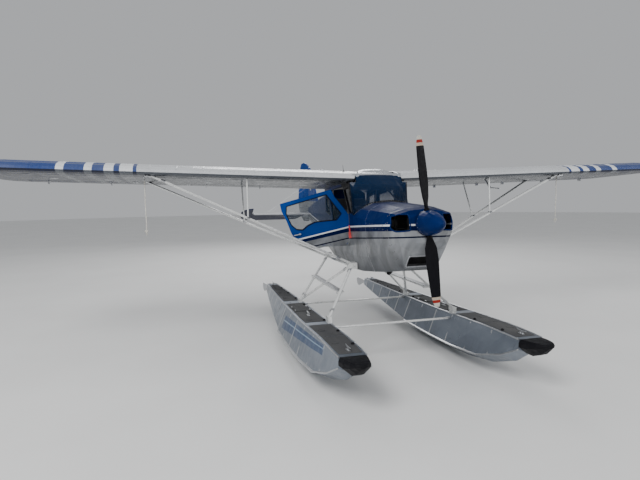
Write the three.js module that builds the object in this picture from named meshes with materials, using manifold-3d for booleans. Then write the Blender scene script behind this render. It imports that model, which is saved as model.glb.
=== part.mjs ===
// Two-seat high-wing floatplane on twin floats, in millimetres.
// +X is the nose, +Y the left wing, +Z up. The origin is on the ground between the float keels.
// The datum is the propeller hub: "aft" runs back from it and "up" is the height from its thrust line.
import * as THREE from 'three';
import { mergeVertices } from 'three/addons/utils/BufferGeometryUtils.js';
import Module from 'manifold-3d';

const wasm = await Module();
wasm.setup();

// Driving dimensions
const HUB_AHEAD = 2890;        // propeller hub ahead of the origin
const HUB_HEIGHT = 1980;       // propeller hub above the float keels
const SEAM = 0.3;              // gap between pieces that touch
const RUNNING = 9;             // gap round a control surface
const SKIN = 15;               // cowl wall
const WALL = 35;               // cabin wall
const CHORD = 1524;            // wing chord
const WING_LEAD = 1587;        // wing leading edge, aft of the hub
const WING_UP = 520;           // flat bottom of the wing at the leading edge
const WING_ROOT = 356;         // root rib, from the centreline
const WING_LENGTH = 5157;      // one wing from root rib to tip
const DIHEDRAL = THREE.MathUtils.degToRad(1.9);
const INCIDENCE = THREE.MathUtils.degToRad(2.63);
const PROP_RADIUS = 1015;
const PROP_ANGLE = THREE.MathUtils.degToRad(7.1);
const SPINNER_RADIUS = 150;
const SPINNER_NOSE = 360;
const BARREL = 32;             // radius of a blade's root barrel
const COWL_FRONT = 40;
const BOWL_END = 230;
const FIREWALL = 950;
const FIREWALL_PLATE = 15;
const POST = 1530;             // where the windshield's side post meets the cabin side
const DECK_END = 1500;         // back and lower edge of the deck ahead of the windshield
const DECK_UP = 60;
const CABIN_END = 3110;
const TAIL_POST = 6030;
const FLOAT_SPREAD = 1086;     // float centreline from the aircraft's centreline
const SIDE_HALF = 413;         // cabin side from the centreline, at the datum height
const SIDE_LEAN = 0.07;        // cabin side leans out by this much for each unit up
const DOOR_PLATE = 30;
const DOOR_HINGE_AFT = 1715;
const DOOR_LEAN_AHEAD = 0.11;  // the hinge line also leans ahead by this much for each unit up
const DOOR_OPEN = THREE.MathUtils.degToRad(92);
const DOOR_CLEARANCE = 7;
const PIN_PLAY = 0.6;          // gap round a hinge pin
const SIDES = [['left', 1], ['right', -1]];

// Finishes: colour, roughness, metalness
const FINISHES = {
  blue: [0x1747c8, 0.3, 0.2],
  silver: [0xb9bec6, 0.35, 0.6],
  cloth: [0xd5d8dc, 0.5, 0.1],
  metal: [0x9aa0a8, 0.4, 0.8],
  black: [0x15161a, 0.5, 0.1],
  rubber: [0x1b1b1d, 0.8, 0],
  glass: [0xa9bccb, 0.05, 0],
  iron: [0x4a4c50, 0.6, 0.6],
  seat: [0x4b463f, 0.9, 0],
  rope: [0xe6e4dc, 0.9, 0],
};

const aircraft = new THREE.Group();

// A point from its place aft of the hub, across, and up from the thrust line
function at(aft, across, up) {
  return new THREE.Vector3(HUB_AHEAD - aft, across, HUB_HEIGHT + up);
}

function addPiece(name, body, finish, parent = aircraft) {
  const [color, roughness, metalness] = FINISHES[finish];
  const material = new THREE.MeshStandardMaterial({ color, roughness, metalness, flatShading: true });
  material.transparent = finish === 'glass';
  material.opacity = finish === 'glass' ? 0.4 : 1;
  const mesh = new THREE.Mesh(geometryOf(body), material);
  mesh.name = name;
  parent.add(mesh);
  return mesh;
}

// Solids: a closed geometry as a body that can be joined and cut
function signedVolume(positions, corners) {
  let volume = 0;
  const [a, b, c] = [new THREE.Vector3(), new THREE.Vector3(), new THREE.Vector3()];
  for (let i = 0; i < corners.length; i += 3) {
    a.fromArray(positions, 3 * corners[i]);
    b.fromArray(positions, 3 * corners[i + 1]);
    c.fromArray(positions, 3 * corners[i + 2]);
    volume += a.dot(b.cross(c)) / 6;
  }
  return volume;
}

function solid(geometry) {
  const bare = geometry.clone();
  bare.deleteAttribute('normal');
  bare.deleteAttribute('uv');
  const merged = mergeVertices(bare, 1e-3);
  const vertProperties = Float32Array.from(merged.attributes.position.array);
  const triVerts = Uint32Array.from(merged.index.array);
  if (signedVolume(vertProperties, triVerts) < 0) triVerts.reverse();
  return new wasm.Manifold(new wasm.Mesh({ numProp: 3, vertProperties, triVerts }));
}

function geometryOf(body) {
  const { vertProperties, triVerts } = body.getMesh();
  const geometry = new THREE.BufferGeometry();
  geometry.setAttribute('position', new THREE.BufferAttribute(vertProperties, 3));
  geometry.setIndex(new THREE.BufferAttribute(triVerts, 1));
  return geometry;
}

function joined(...bodies) {
  return bodies.reduce((whole, body) => whole.add(body));
}

// A closed skin over rings that have the same number of points, with a fan over each end
function loft(rings) {
  const count = rings[0].length;
  const points = rings.flat();
  const corners = [];
  for (let ring = 0; ring + 1 < rings.length; ring++) {
    for (let i = 0; i < count; i++) {
      const here = ring * count + i;
      const beside = ring * count + (i + 1) % count;
      corners.push(here, beside, here + count, beside, beside + count, here + count);
    }
  }
  for (const [start, flip] of [[0, true], [(rings.length - 1) * count, false]]) {
    const ring = points.slice(start, start + count);
    const middle = ring.reduce((sum, point) => sum.add(point), new THREE.Vector3()).divideScalar(count);
    points.push(middle);
    for (let i = 0; i < count; i++) {
      const [here, beside] = [start + i, start + (i + 1) % count];
      corners.push(...(flip ? [beside, here, points.length - 1] : [here, beside, points.length - 1]));
    }
  }
  const geometry = new THREE.BufferGeometry().setFromPoints(points);
  geometry.setIndex(corners);
  return solid(geometry);
}

// An even sheet behind a grid of points, each row having the same number of points
function sheet(rows, thickness) {
  const [down, across] = [rows.length, rows[0].length];
  const outer = rows.flat();
  const inner = outer.map((point, index) => {
    const [row, column] = [Math.floor(index / across), index % across];
    const along = rows[row][Math.min(column + 1, across - 1)].clone();
    along.sub(rows[row][Math.max(column - 1, 0)]);
    const upward = rows[Math.min(row + 1, down - 1)][column].clone();
    upward.sub(rows[Math.max(row - 1, 0)][column]);
    return point.clone().addScaledVector(along.cross(upward).normalize(), thickness);
  });
  const corners = [];
  const quad = (a, b, c, d) => corners.push(a, b, c, a, c, d);
  for (let row = 0; row + 1 < down; row++) {
    for (let column = 0; column + 1 < across; column++) {
      const a = row * across + column;
      const [b, c, d] = [a + 1, a + across + 1, a + across];
      quad(a, b, c, d);
      quad(...[d, c, b, a].map((index) => index + outer.length));
    }
  }
  const rim = [];
  for (let column = 0; column < across; column++) rim.push(column);
  for (let row = 1; row < down; row++) rim.push(row * across + across - 1);
  for (let column = across - 2; column >= 0; column--) rim.push((down - 1) * across + column);
  for (let row = down - 2; row > 0; row--) rim.push(row * across);
  rim.forEach((here, index) => {
    const beside = rim[(index + 1) % rim.length];
    quad(beside, here, here + outer.length, beside + outer.length);
  });
  const geometry = new THREE.BufferGeometry().setFromPoints([...outer, ...inner]);
  geometry.setIndex(corners);
  return solid(geometry);
}

// Shapes drawn from the side (aft, up), from above (aft, across) or from ahead (across, up), made thick
const SIDE_VIEW = new THREE.Matrix4().makeBasis(
  new THREE.Vector3(-1, 0, 0), new THREE.Vector3(0, 0, 1), new THREE.Vector3(0, 1, 0));
const TOP_VIEW = new THREE.Matrix4().makeBasis(
  new THREE.Vector3(-1, 0, 0), new THREE.Vector3(0, 1, 0), new THREE.Vector3(0, 0, 1));
const FRONT_VIEW = new THREE.Matrix4().makeBasis(
  new THREE.Vector3(0, 1, 0), new THREE.Vector3(0, 0, 1), new THREE.Vector3(1, 0, 0));

function outlineShape(outline) {
  return new THREE.Shape(outline.map(([along, up]) => new THREE.Vector2(along, up)));
}

function thick(shape, depth, view, curveSegments = 6) {
  const geometry = new THREE.ExtrudeGeometry(shape, { depth, bevelEnabled: false, curveSegments });
  return geometry.applyMatrix4(view);
}

function sidePrism(outline, low, high) {
  const geometry = thick(outlineShape(outline), high - low, SIDE_VIEW);
  return solid(geometry.translate(HUB_AHEAD, low, HUB_HEIGHT));
}

function topPrism(outline, low, high) {
  const geometry = thick(outlineShape(outline), high - low, TOP_VIEW);
  return solid(geometry.translate(HUB_AHEAD, 0, HUB_HEIGHT + low));
}

function frontPrism(outline, front, back) {
  const geometry = thick(outlineShape(outline), back - front, FRONT_VIEW);
  return solid(geometry.translate(HUB_AHEAD - back, 0, HUB_HEIGHT));
}

function box([front, back], [near, far], [low, high], grow = 0) {
  const geometry = new THREE.BoxGeometry(
    back - front + 2 * grow, Math.abs(far - near) + 2 * grow, high - low + 2 * grow);
  const middle = at((front + back) / 2, (near + far) / 2, (low + high) / 2);
  return solid(geometry.translate(middle.x, middle.y, middle.z));
}

function rod(from, to, radius, faces = 12) {
  const along = to.clone().sub(from);
  const geometry = new THREE.CylinderGeometry(radius, radius, along.length(), faces);
  const turn = new THREE.Quaternion().setFromUnitVectors(new THREE.Vector3(0, 1, 0), along.normalize());
  const middle = from.clone().add(to).multiplyScalar(0.5);
  return solid(geometry.applyQuaternion(turn).translate(middle.x, middle.y, middle.z));
}

// Streamlined section: ahead, across, as fractions of its chord and thickness
const STREAMLINE = [
  [0.5, 0], [0.36, 0.36], [0.1, 0.5], [-0.2, 0.36], [-0.5, 0], [-0.2, -0.36], [0.1, -0.5], [0.36, -0.36]];

// A streamlined strut between two points, with its ends drawn in to end times its chord
function strut(from, to, chord, thickness, end = 1) {
  const along = to.clone().sub(from);
  const length = along.length();
  along.normalize();
  const ahead = new THREE.Vector3(1, 0, 0).addScaledVector(along, -along.x).normalize();
  const across = new THREE.Vector3().crossVectors(along, ahead);
  const stations = end === 1 ? [[0, 1], [1, 1]] : [[0, end], [0.07, 1], [0.95, 1], [1, end]];
  return loft(stations.map(([part, scale]) => STREAMLINE.map(([fore, side]) => from.clone()
    .addScaledVector(along, part * length)
    .addScaledVector(ahead, fore * chord * scale)
    .addScaledVector(across, side * thickness))));
}

// An outline moved out by a distance, each corner along both of its edges
function widened(outline, distance) {
  const points = outline.map(([x, y]) => new THREE.Vector2(x, y));
  const turning = Math.sign(THREE.ShapeUtils.area(points));
  return points.map((point, index) => {
    const before = point.clone().sub(points.at(index - 1)).normalize();
    const after = points[(index + 1) % points.length].clone().sub(point).normalize();
    const outBefore = new THREE.Vector2(before.y, -before.x).multiplyScalar(turning);
    const outAfter = new THREE.Vector2(after.y, -after.x).multiplyScalar(turning);
    const corner = outBefore.clone().add(outAfter);
    corner.multiplyScalar(distance / (1 + outBefore.dot(outAfter)));
    return [point.x + corner.x, point.y + corner.y];
  });
}

// Hull sections. Half widths and heights of the points from the top round to the belly:
// aft, top, crown half, crown up, shoulder half, shoulder up, side half, side up,
// hip half, hip up, corner half, corner up, belly half, belly up
const COWL_STATIONS = [
  [COWL_FRONT, 105, 120, 92, 228, 50, 296, -20, 296, -105, 236, -195, 130, -235],
  [110, 160, 180, 145, 340, 100, 374, 0, 371, -130, 300, -270, 165, -350],
  [190, 180, 205, 163, 386, 110, 418, 0, 414, -150, 332, -330, 212, -560],
  [300, 195, 230, 178, 400, 117, 448, 0, 446, -175, 356, -370, 238, -605],
  [600, 215, 235, 198, 392, 125, 457, 0, 455, -210, 388, -430, 280, -655],
  [FIREWALL, 235, 235, 215, 385, 130, 440, 0, 430, -250, 392, -500, 305, -700],
];
const sideAt = (up) => SIDE_HALF + SIDE_LEAN * up;
const BOOT_STATIONS = [
  COWL_STATIONS.at(-1),
  [1400, 250, 235, 228, 380, 140, 424, 25, 405, -258, 379, -530, 305, -755],
  [POST, 252, 235, 230, 380, 150, sideAt(40), 40, sideAt(-260), -260, sideAt(-540), -540, 305, -762],
];
const CABIN_STATIONS = [
  [POST, -762, 305, -540],
  [1850, -778, 305, -540],
  [2720, -740, 305, -540],
].map(([aft, low, bellyHalf, cornerUp]) => [aft, 540, 300, 540, sideAt(540), 540, SIDE_HALF, 0,
  sideAt(-260), -260, sideAt(cornerUp), cornerUp, bellyHalf, low]);
CABIN_STATIONS.push([CABIN_END, 540, 300, 540, 412, 540, 385, 0, 370, -240, 345, -480, 275, -670]);
const TAIL_STATIONS = [
  [CABIN_END + SEAM, 480, 210, 462, 340, 370, 385, 0, 370, -240, 345, -480, 275, -670],
  [4200, 350, 130, 338, 225, 265, 268, 0, 258, -180, 235, -350, 180, -470],
  [5200, 205, 70, 198, 125, 155, 150, 0, 142, -110, 125, -220, 95, -295],
  [TAIL_POST, 62, 12, 60, 22, 50, 28, 0, 28, -60, 24, -130, 16, -175],
];

function turnedAbout(body, { x, y, z }, degrees) {
  return body.translate([-x, -y, -z]).rotate(degrees).translate([x, y, z]);
}

// A hull over its stations, moved out by grow, or in where grow is negative
function hull(stations, grow = 0) {
  return loft(stations.map(([aft, top, ...row]) => {
    const half = [[0, top + grow]];
    for (let i = 0; i < row.length; i += 2) {
      const upward = i < 4 ? grow : 0;
      half.push([row[i] + grow, row[i + 1] + (i >= 10 ? -grow : upward)]);
    }
    half.push([0, row.at(-1) - grow]);
    const mirrored = half.slice(1, -1).reverse().map(([across, up]) => [-across, up]);
    return [...half, ...mirrored].map(([across, up]) => at(aft, across, up));
  }));
}

// The same hull, run on past its ends so that it cuts right through
function hullPast(stations, grow, past = 40) {
  const first = [stations[0][0] - past, ...stations[0].slice(1)];
  const last = [stations.at(-1)[0] + past, ...stations.at(-1).slice(1)];
  return hull([first, ...stations.slice(1, -1), last], grow);
}

// Wing: a constant section with a flat bottom. along, upper, lower, as fractions of the chord
const AIRFOIL = [
  [0, 0.039, 0.039], [0.0125, 0.062, 0.0214], [0.05, 0.09, 0.0103], [0.12, 0.112, 0.003],
  [0.22, 0.128, 0], [0.34, 0.131, 0], [0.48, 0.121, 0], [0.64, 0.096, 0], [0.8, 0.058, 0], [1, 0.004, 0]];
const FLAT_FROM = 0.22;        // the bottom is flat from here back
const MID_SECTION = 0.05;
// Tip stations: outboard, leading edge set back, chord and thickness as fractions of the whole
const WING_STATIONS = [
  [0, 0, 1, 1], [4650, 0, 1, 1], [4880, 22, 0.975, 0.94], [5020, 80, 0.91, 0.78],
  [5110, 175, 0.79, 0.5], [WING_LENGTH, 360, 0.5, 0.14]];

function wingRing(outboard, setBack = 0, chordPart = 1, thickPart = 1, sink = 0) {
  const lower = AIRFOIL.slice(1).filter(([along, , low]) => low > 0 || along === FLAT_FROM || along === 1);
  const ring = [
    ...AIRFOIL.toReversed().map(([along, upper]) => [along, upper]),
    ...lower.map(([along, , low]) => [along, low])];
  return ring.map(([along, up]) => new THREE.Vector3(
    -setBack - along * CHORD * chordPart, outboard,
    CHORD * (MID_SECTION + (up - MID_SECTION) * thickPart) - sink));
}

// The wing's own frame: x ahead, y along the span, z up from the flat bottom at the leading edge
function wingPlace(side) {
  const place = new THREE.Group();
  place.position.copy(at(WING_LEAD, side * WING_ROOT, WING_UP));
  place.rotation.set(side * DIHEDRAL, -INCIDENCE, 0);
  place.updateMatrixWorld();
  return place;
}

function spanPrism(shape, near, far, side, curveSegments) {
  const geometry = thick(shape, far - near, SIDE_VIEW, curveSegments);
  return solid(geometry.translate(0, near, 0).scale(1, side, 1));
}

// What a hinged surface takes of a section: a round nose on the hinge and all that is behind it
function surfaceShape(back, up, radius) {
  const [low, high, end] = [-60, 180, CHORD + 60];
  const shape = new THREE.Shape();
  shape.absarc(back, up, radius, Math.PI / 2, 1.5 * Math.PI, false);
  for (const [x, y] of [[back, low], [end, low], [end, high], [back, high]]) shape.lineTo(x, y);
  return shape;
}

const WING_HINGE = 0.8 * CHORD;
const WING_HINGE_UP = 44;
const WING_NOSE = 42;
// Surfaces on the wing's trailing edge: name, inboard end, outboard end
const TRAILING = [['flap', 110, 2330], ['aileron', 2370, 4600]];

// Everything above the wing's flat bottom, to cut what ends under it
function overWing(side) {
  const depth = 400;
  const geometry = new THREE.BoxGeometry(2 * CHORD, 2 * WING_LENGTH, depth);
  geometry.translate(-CHORD / 2, side * WING_LENGTH, depth / 2 - SEAM);
  return solid(geometry.applyMatrix4(wingPlace(side).matrixWorld));
}

// The whole wing with its surfaces, in its own frame or placed
function wholeWing(side, placed = new THREE.Matrix4()) {
  return loft(WING_STATIONS.map(([outboard, ...rest]) => wingRing(side * outboard, ...rest)
    .map((point) => point.applyMatrix4(placed))));
}

// The wing to cut what ends at its underside
function wingCutter(side) {
  const lowered = new THREE.Matrix4().makeTranslation(0, 0, -SEAM);
  return wholeWing(side, lowered.multiply(wingPlace(side).matrixWorld));
}

// Each surface turns on a pin at either end, held in the wing's rib
const HINGE_PIN = { radius: 8, reach: 30, root: 6 };
function addWing(name, side) {
  const place = wingPlace(side);
  aircraft.add(place);
  const whole = wholeWing(side);
  const along = (from, to, radius) => rod(new THREE.Vector3(-WING_HINGE, side * from, WING_HINGE_UP),
    new THREE.Vector3(-WING_HINGE, side * to, WING_HINGE_UP), radius, 16);
  let wing = whole;
  for (const [surface, near, far] of TRAILING) {
    const bay = surfaceShape(WING_HINGE, WING_HINGE_UP, WING_NOSE + RUNNING);
    wing = wing.subtract(spanPrism(bay, near - RUNNING, far + RUNNING, side));
    const part = surfaceShape(WING_HINGE, WING_HINGE_UP, WING_NOSE);
    let moving = whole.intersect(spanPrism(part, near, far, side));
    for (const [end, inward] of [[near, 1], [far, -1]]) {
      const { radius, reach, root } = HINGE_PIN;
      wing = wing.add(along(end - inward * (RUNNING + root), end + inward * reach, radius));
      moving = moving.subtract(along(end - inward, end + inward * (reach + 3), radius + PIN_PLAY));
    }
    addPiece(`${surface}_${name}`, moving, 'cloth', place);
  }
  addPiece(`wing_${name}`, wing, 'cloth', place);
}

// Roof between the wing roots: the wing's own section, hollow below, with the skylight cut
const ROOF_HALF = WING_ROOT - SEAM;
const SKYLIGHT = [[1830, 2600], [-250, 250], [400, 900]];
function roofSection(sink, grow = 0) {
  const rings = [-1, 1].map((side) => wingRing(0, -grow, 1, 1, sink).map((point) => point.setY(
    side * (ROOF_HALF + grow - point.z * Math.tan(DIHEDRAL)))));
  const place = new THREE.Matrix4().makeRotationY(-INCIDENCE).setPosition(at(WING_LEAD, 0, WING_UP));
  return loft(rings.map((ring) => ring.map((point) => point.applyMatrix4(place))));
}

function addRoof() {
  const hollow = roofSection(WALL).intersect(box([1760, 2960], [-310, 310], [300, 900]));
  const below = box([1760, 2960], [-310, 310], [300, 535]);
  const roof = roofSection(0).subtract(hollow).subtract(below).subtract(box(...SKYLIGHT));
  addPiece('cabin_roof', roof, 'blue');
  const pane = roofSection(10).subtract(roofSection(16));
  addPiece('skylight', pane.intersect(box(...SKYLIGHT, -SEAM)), 'glass');
}

// Cabin. Outlines are drawn from the side: aft, up
const GLASSHOUSE = [[1145, 252], [1500, 52], [1590, 514], [1590, 590], [1720, 640], [1720, 900], [1000, 900]];
const QUARTER_WINDOW = [[1560, 85], [1695, 85], [1745, 181], [1852, 363], [1868, 422], [1622, 452]];
const MAIN_WINDOW = [[1856, 45], [2588, 15], [2644, 345], [1996, 420]];
const REAR_WINDOW = [[2755, 20], [3040, 60], [3050, 300], [2790, 372]];
// The closed door, aft and up from its hinge
const DOOR = [[56, -415], [14, -62], [4, 50], [72, 181], [176, 355], [216, 470], [990, 410], [984, 295],
  [937, 147], [898, -47], [851, -161], [597, -348], [451, -346]];
const DOOR_WINDOW = [[118, 92], [300, 408], [905, 356], [926, 255], [876, 78], [811, 1], [725, -24],
  [640, 24], [523, 52], [199, 16]];

// The cabin side's own frame: aft, up in its leaning plane, and square to it towards the left
function sidePlane(side) {
  const upward = new THREE.Vector3(0, side * SIDE_LEAN, 1).normalize();
  const aftward = new THREE.Vector3(-1, 0, 0);
  const square = new THREE.Vector3().crossVectors(aftward, upward);
  const plane = new THREE.Matrix4().makeBasis(aftward, upward, square);
  return plane.setPosition(at(DOOR_HINGE_AFT, side * SIDE_HALF, 0));
}

function inSidePlane(side, outline, low, high) {
  const geometry = thick(outlineShape(outline), high - low, new THREE.Matrix4());
  return solid(geometry.translate(0, 0, low).applyMatrix4(sidePlane(side)));
}

// Door hinges: a pin held by two knuckles on the cabin side, and a knuckle of the door between them
const HINGE_UPS = [-115, -340];
const KNUCKLE = { radius: 9, pin: 4.5, half: 16, end: 34, play: 3 };
const DOOR_AXIS = new THREE.Vector3(DOOR_LEAN_AHEAD, -SIDE_LEAN, 1);
function onHinge(origin, low, high, radius) {
  const [from, to] = [low, high].map((up) => origin.clone().addScaledVector(DOOR_AXIS, up));
  return rod(from, to, radius, 12);
}

function withCabinKnuckles(body) {
  const origin = at(DOOR_HINGE_AFT, -SIDE_HALF, 0);
  const { radius, pin, half, end, play } = KNUCKLE;
  let hinged = body;
  for (const up of HINGE_UPS) {
    hinged = hinged.subtract(onHinge(origin, up - half - play, up + half + play, radius + play));
    hinged = hinged.add(onHinge(origin, up - end, up + end, pin));
    for (const [low, high] of [[-end, -half - play], [half + play, end]]) {
      hinged = hinged.add(onHinge(origin, up + low, up + high, radius));
    }
  }
  return hinged;
}

// The door with its own knuckles, about a hinge line through the origin
const LEAF = [34, 6];          // hinge leaf, along and through the door
function withDoorKnuckles(door, closed) {
  const { radius, pin, half, end, play } = KNUCKLE;
  const origin = new THREE.Vector3();
  let hinged = door;
  for (const up of HINGE_UPS) {
    hinged = hinged.subtract(onHinge(origin, up - end - play, up + end + play, radius + play));
    const leaf = new THREE.BoxGeometry(LEAF[0], 2 * half, LEAF[1]);
    leaf.translate(LEAF[0] / 2 - DOOR_LEAN_AHEAD * up, up, LEAF[1] / 2).applyMatrix4(closed);
    hinged = joined(hinged, onHinge(origin, up - half, up + half, radius), solid(leaf));
    hinged = hinged.subtract(onHinge(origin, up - half - play, up + half + play, pin + PIN_PLAY));
  }
  return hinged;
}

function underRoof(body) {
  const wings = SIDES.map(([, side]) => overWing(side));
  return body.subtract(wings[0]).subtract(wings[1]).subtract(roofSection(SEAM, 2));
}

const inCabin = (grow) => joined(hull(BOOT_STATIONS, grow), hull(CABIN_STATIONS, grow));

function addCabin() {
  const inside = joined(hullPast(BOOT_STATIONS, -WALL, 0), hullPast(CABIN_STATIONS, -WALL, 0));
  const past = 60;
  const [bootFront, bootMiddle] = BOOT_STATIONS;
  const cabinBack = CABIN_STATIONS.at(-1);
  const through = joined(inside, hull([[FIREWALL - past, ...bootFront.slice(1)], bootMiddle], -WALL),
    hull([cabinBack, [CABIN_END + past, ...cabinBack.slice(1)]], -WALL));
  let shell = inCabin(0).subtract(through).subtract(sidePrism(GLASSHOUSE, -700, 700));
  shell = underRoof(shell);
  shell = shell.subtract(box([DECK_END, CABIN_END + 60], [-380, 380], [430, 700]));
  shell = shell.subtract(box([DECK_END, POST + 10], [-380, 380], [DECK_UP, 500]));
  shell = shell.subtract(inSidePlane(-1, widened(DOOR, DOOR_CLEARANCE), -60, 90));
  const glazed = [];
  for (const [name, side] of SIDES) {
    const [near, far] = side > 0 ? [300, 520] : [-520, -300];
    const windows = [['quarter_window', QUARTER_WINDOW], ['rear_window', REAR_WINDOW]];
    if (side > 0) windows.push(['main_window', MAIN_WINDOW]);
    for (const [window, outline] of windows) {
      shell = shell.subtract(sidePrism(outline, near, far));
      glazed.push([`${window}_${name}`, sidePrism(widened(outline, -SEAM), near, far)]);
    }
  }
  const pane = inCabin(-14).subtract(joined(inCabin(-20), hullPast(CABIN_STATIONS, -20)));
  for (const [name, opening] of glazed) addPiece(name, pane.intersect(opening), 'glass');

  const seamUp = -560;
  const deck = [[FIREWALL, DECK_END], [-600, 600], [DECK_UP, 300]];
  addPiece('belly', shell.intersect(box([FIREWALL, CABIN_END], [-600, 600], [-900, seamUp])), 'silver');
  addPiece('boot_deck', shell.intersect(box(...deck)), 'blue');
  const rest = shell.subtract(box(...deck, SEAM));
  for (const [name, side] of SIDES) {
    const half = side > 0 ? [0, 600] : [-600, 0];
    const wall = rest.intersect(box([FIREWALL, CABIN_END], half, [seamUp + SEAM, 800]));
    addPiece(`cabin_side_${name}`, side > 0 ? wall : withCabinKnuckles(wall), 'blue');
  }
}

// Windshield: columns from the centre out; base aft, across, up, then top aft, across, up.
// Its top lies on the roof's leading edge
const WINDSHIELD = [
  [1140, 0, 254, 1650, 0, 653], [1165, 120, 247, 1650, 120, 653], [1195, 235, 231, 1649, 235, 652],
  [1262, 318, 190, 1645, 300, 650], [1340, 380, 140, 1618, 350, 632], [1420, 408, 95, 1584, 400, 560],
  [1498, 421, 48, 1592, 446, 518]];
function addWindshield() {
  const rows = 5;
  const grid = [];
  for (let row = 0; row < rows; row++) {
    const part = row / (rows - 1);
    const half = WINDSHIELD.map(([aft, across, up, topAft, topAcross, topUp]) => at(
      aft + (topAft - aft) * part, across + (topAcross - across) * part,
      up + (topUp - up) * part + 22 * Math.sin(Math.PI * part)));
    const mirrored = half.slice(1).reverse().map((point) => point.clone().setY(-point.y));
    grid.push([...mirrored, ...half]);
  }
  const opening = sidePrism(GLASSHOUSE, -700, 700);
  const clear = opening.intersect(sidePrism(GLASSHOUSE.map(([aft, up]) => [aft - 0.4, up + 0.4]), -700, 700));
  addPiece('windshield', underRoof(sheet(grid, 8).intersect(clear)), 'glass');
}

function addDoor() {
  const hinge = new THREE.Group();
  hinge.position.copy(at(DOOR_HINGE_AFT, -SIDE_HALF, 0));
  hinge.quaternion.setFromAxisAngle(DOOR_AXIS.clone().normalize(), DOOR_OPEN);
  aircraft.add(hinge);
  const closed = new THREE.Matrix4().copyPosition(sidePlane(-1)).invert().multiply(sidePlane(-1));
  const plate = (outline, from, depth) => solid(
    thick(outlineShape(outline), depth, new THREE.Matrix4()).translate(0, 0, from).applyMatrix4(closed));
  const frame = plate(DOOR, 0, DOOR_PLATE).subtract(plate(DOOR_WINDOW, -5, DOOR_PLATE + 10));
  addPiece('door_frame', withDoorKnuckles(frame, closed), 'blue', hinge);
  addPiece('door_window', plate(widened(DOOR_WINDOW, -SEAM), 12, 6), 'glass', hinge);
}

// Furniture, held inside the cabin walls
function addFurniture() {
  const inside = inCabin(-WALL - SEAM);
  addPiece('instrument_panel', inside.intersect(box([1290, 1320], [-500, 500], [-150, 300])), 'black');
  // Seats: front of the cushion, back of the cushion, half width, top of the back
  const seats = [['front_seat', 2030, 2450, 220, 190], ['rear_seat', 2690, 3040, 230, 120]];
  for (const [name, front, back, half, high] of seats) {
    const cushion = box([front, back], [-half, half], [-450, -350]);
    const backrest = box([back - 60, back + 10], [-half, half], [-450, high]);
    const rails = [-1, 1].map((side) => box([front + 40, back - 40], [side * (half - 40) - 15,
      side * (half - 40) + 15], [-800, -440]));
    addPiece(name, joined(cushion, backrest, ...rails).intersect(inside), 'seat');
  }
  const stick = joined(rod(at(1830, 0, -800), at(1850, 0, -420), 14),
    rod(at(1850, 0, -430), at(1900, 0, -170), 16));
  addPiece('control_stick', stick.intersect(inside), 'black');
}

// Nose inlets, drawn from ahead: across, up
const CHEEK_INLET = [[208, -85], [222, 98], [330, 100], [392, 72], [404, -60], [372, -98]];
const CHIN_INLET = [[-175, -408], [175, -408], [198, -535], [-198, -535]];
function addCowl() {
  let shell = hull(COWL_STATIONS).subtract(hullPast([
    [COWL_FRONT + 60, ...COWL_STATIONS[0].slice(1)], ...COWL_STATIONS.slice(1)], -SKIN));
  shell = shell.subtract(rod(at(-60, 0, 0), at(160, 0, 0), 75, 24));
  shell = shell.subtract(frontPrism(CHIN_INLET, 0, 250));
  for (const side of [-1, 1]) {
    shell = shell.subtract(frontPrism(CHEEK_INLET.map(([across, up]) => [side * across, up]), 0, 215));
  }
  const outlet = box([FIREWALL - 250, FIREWALL], [-170, 170], [-900, -600]);
  shell = shell.subtract(outlet);
  const end = FIREWALL - FIREWALL_PLATE - SEAM;
  const splitUp = -60;
  addPiece('nose_bowl', shell.intersect(box([0, BOWL_END], [-600, 600], [-900, 500])), 'blue');
  addPiece('cowl_upper', shell.intersect(box([BOWL_END + SEAM, end], [-600, 600], [splitUp, 500])), 'blue');
  const lower = box([BOWL_END + SEAM, end], [-600, 600], [-900, splitUp - SEAM]);
  addPiece('cowl_lower', shell.intersect(lower), 'silver');
  const plate = hull(COWL_STATIONS).intersect(
    box([FIREWALL - FIREWALL_PLATE, FIREWALL - SEAM], [-600, 600], [-900, 500]));
  addPiece('firewall', plate, 'metal');
  const block = box([290, FIREWALL - FIREWALL_PLATE - SEAM], [-300, 300], [-320, 120]);
  addPiece('engine_block', block.add(rod(at(40 + SEAM, 0, 0), at(300, 0, 0), 55, 16)), 'iron');
}

// Blade stations: radius, chord, thickness, pitch in degrees
const BLADE = [
  [60, 56, 50, 52], [170, 62, 44, 46], [300, 140, 26, 32], [450, 154, 17, 24], [600, 143, 13, 18],
  [750, 128, 11, 16], [880, 116, 8, 14.5], [950, 90, 6, 14], [PROP_RADIUS, 54, 4, 13]];
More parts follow.
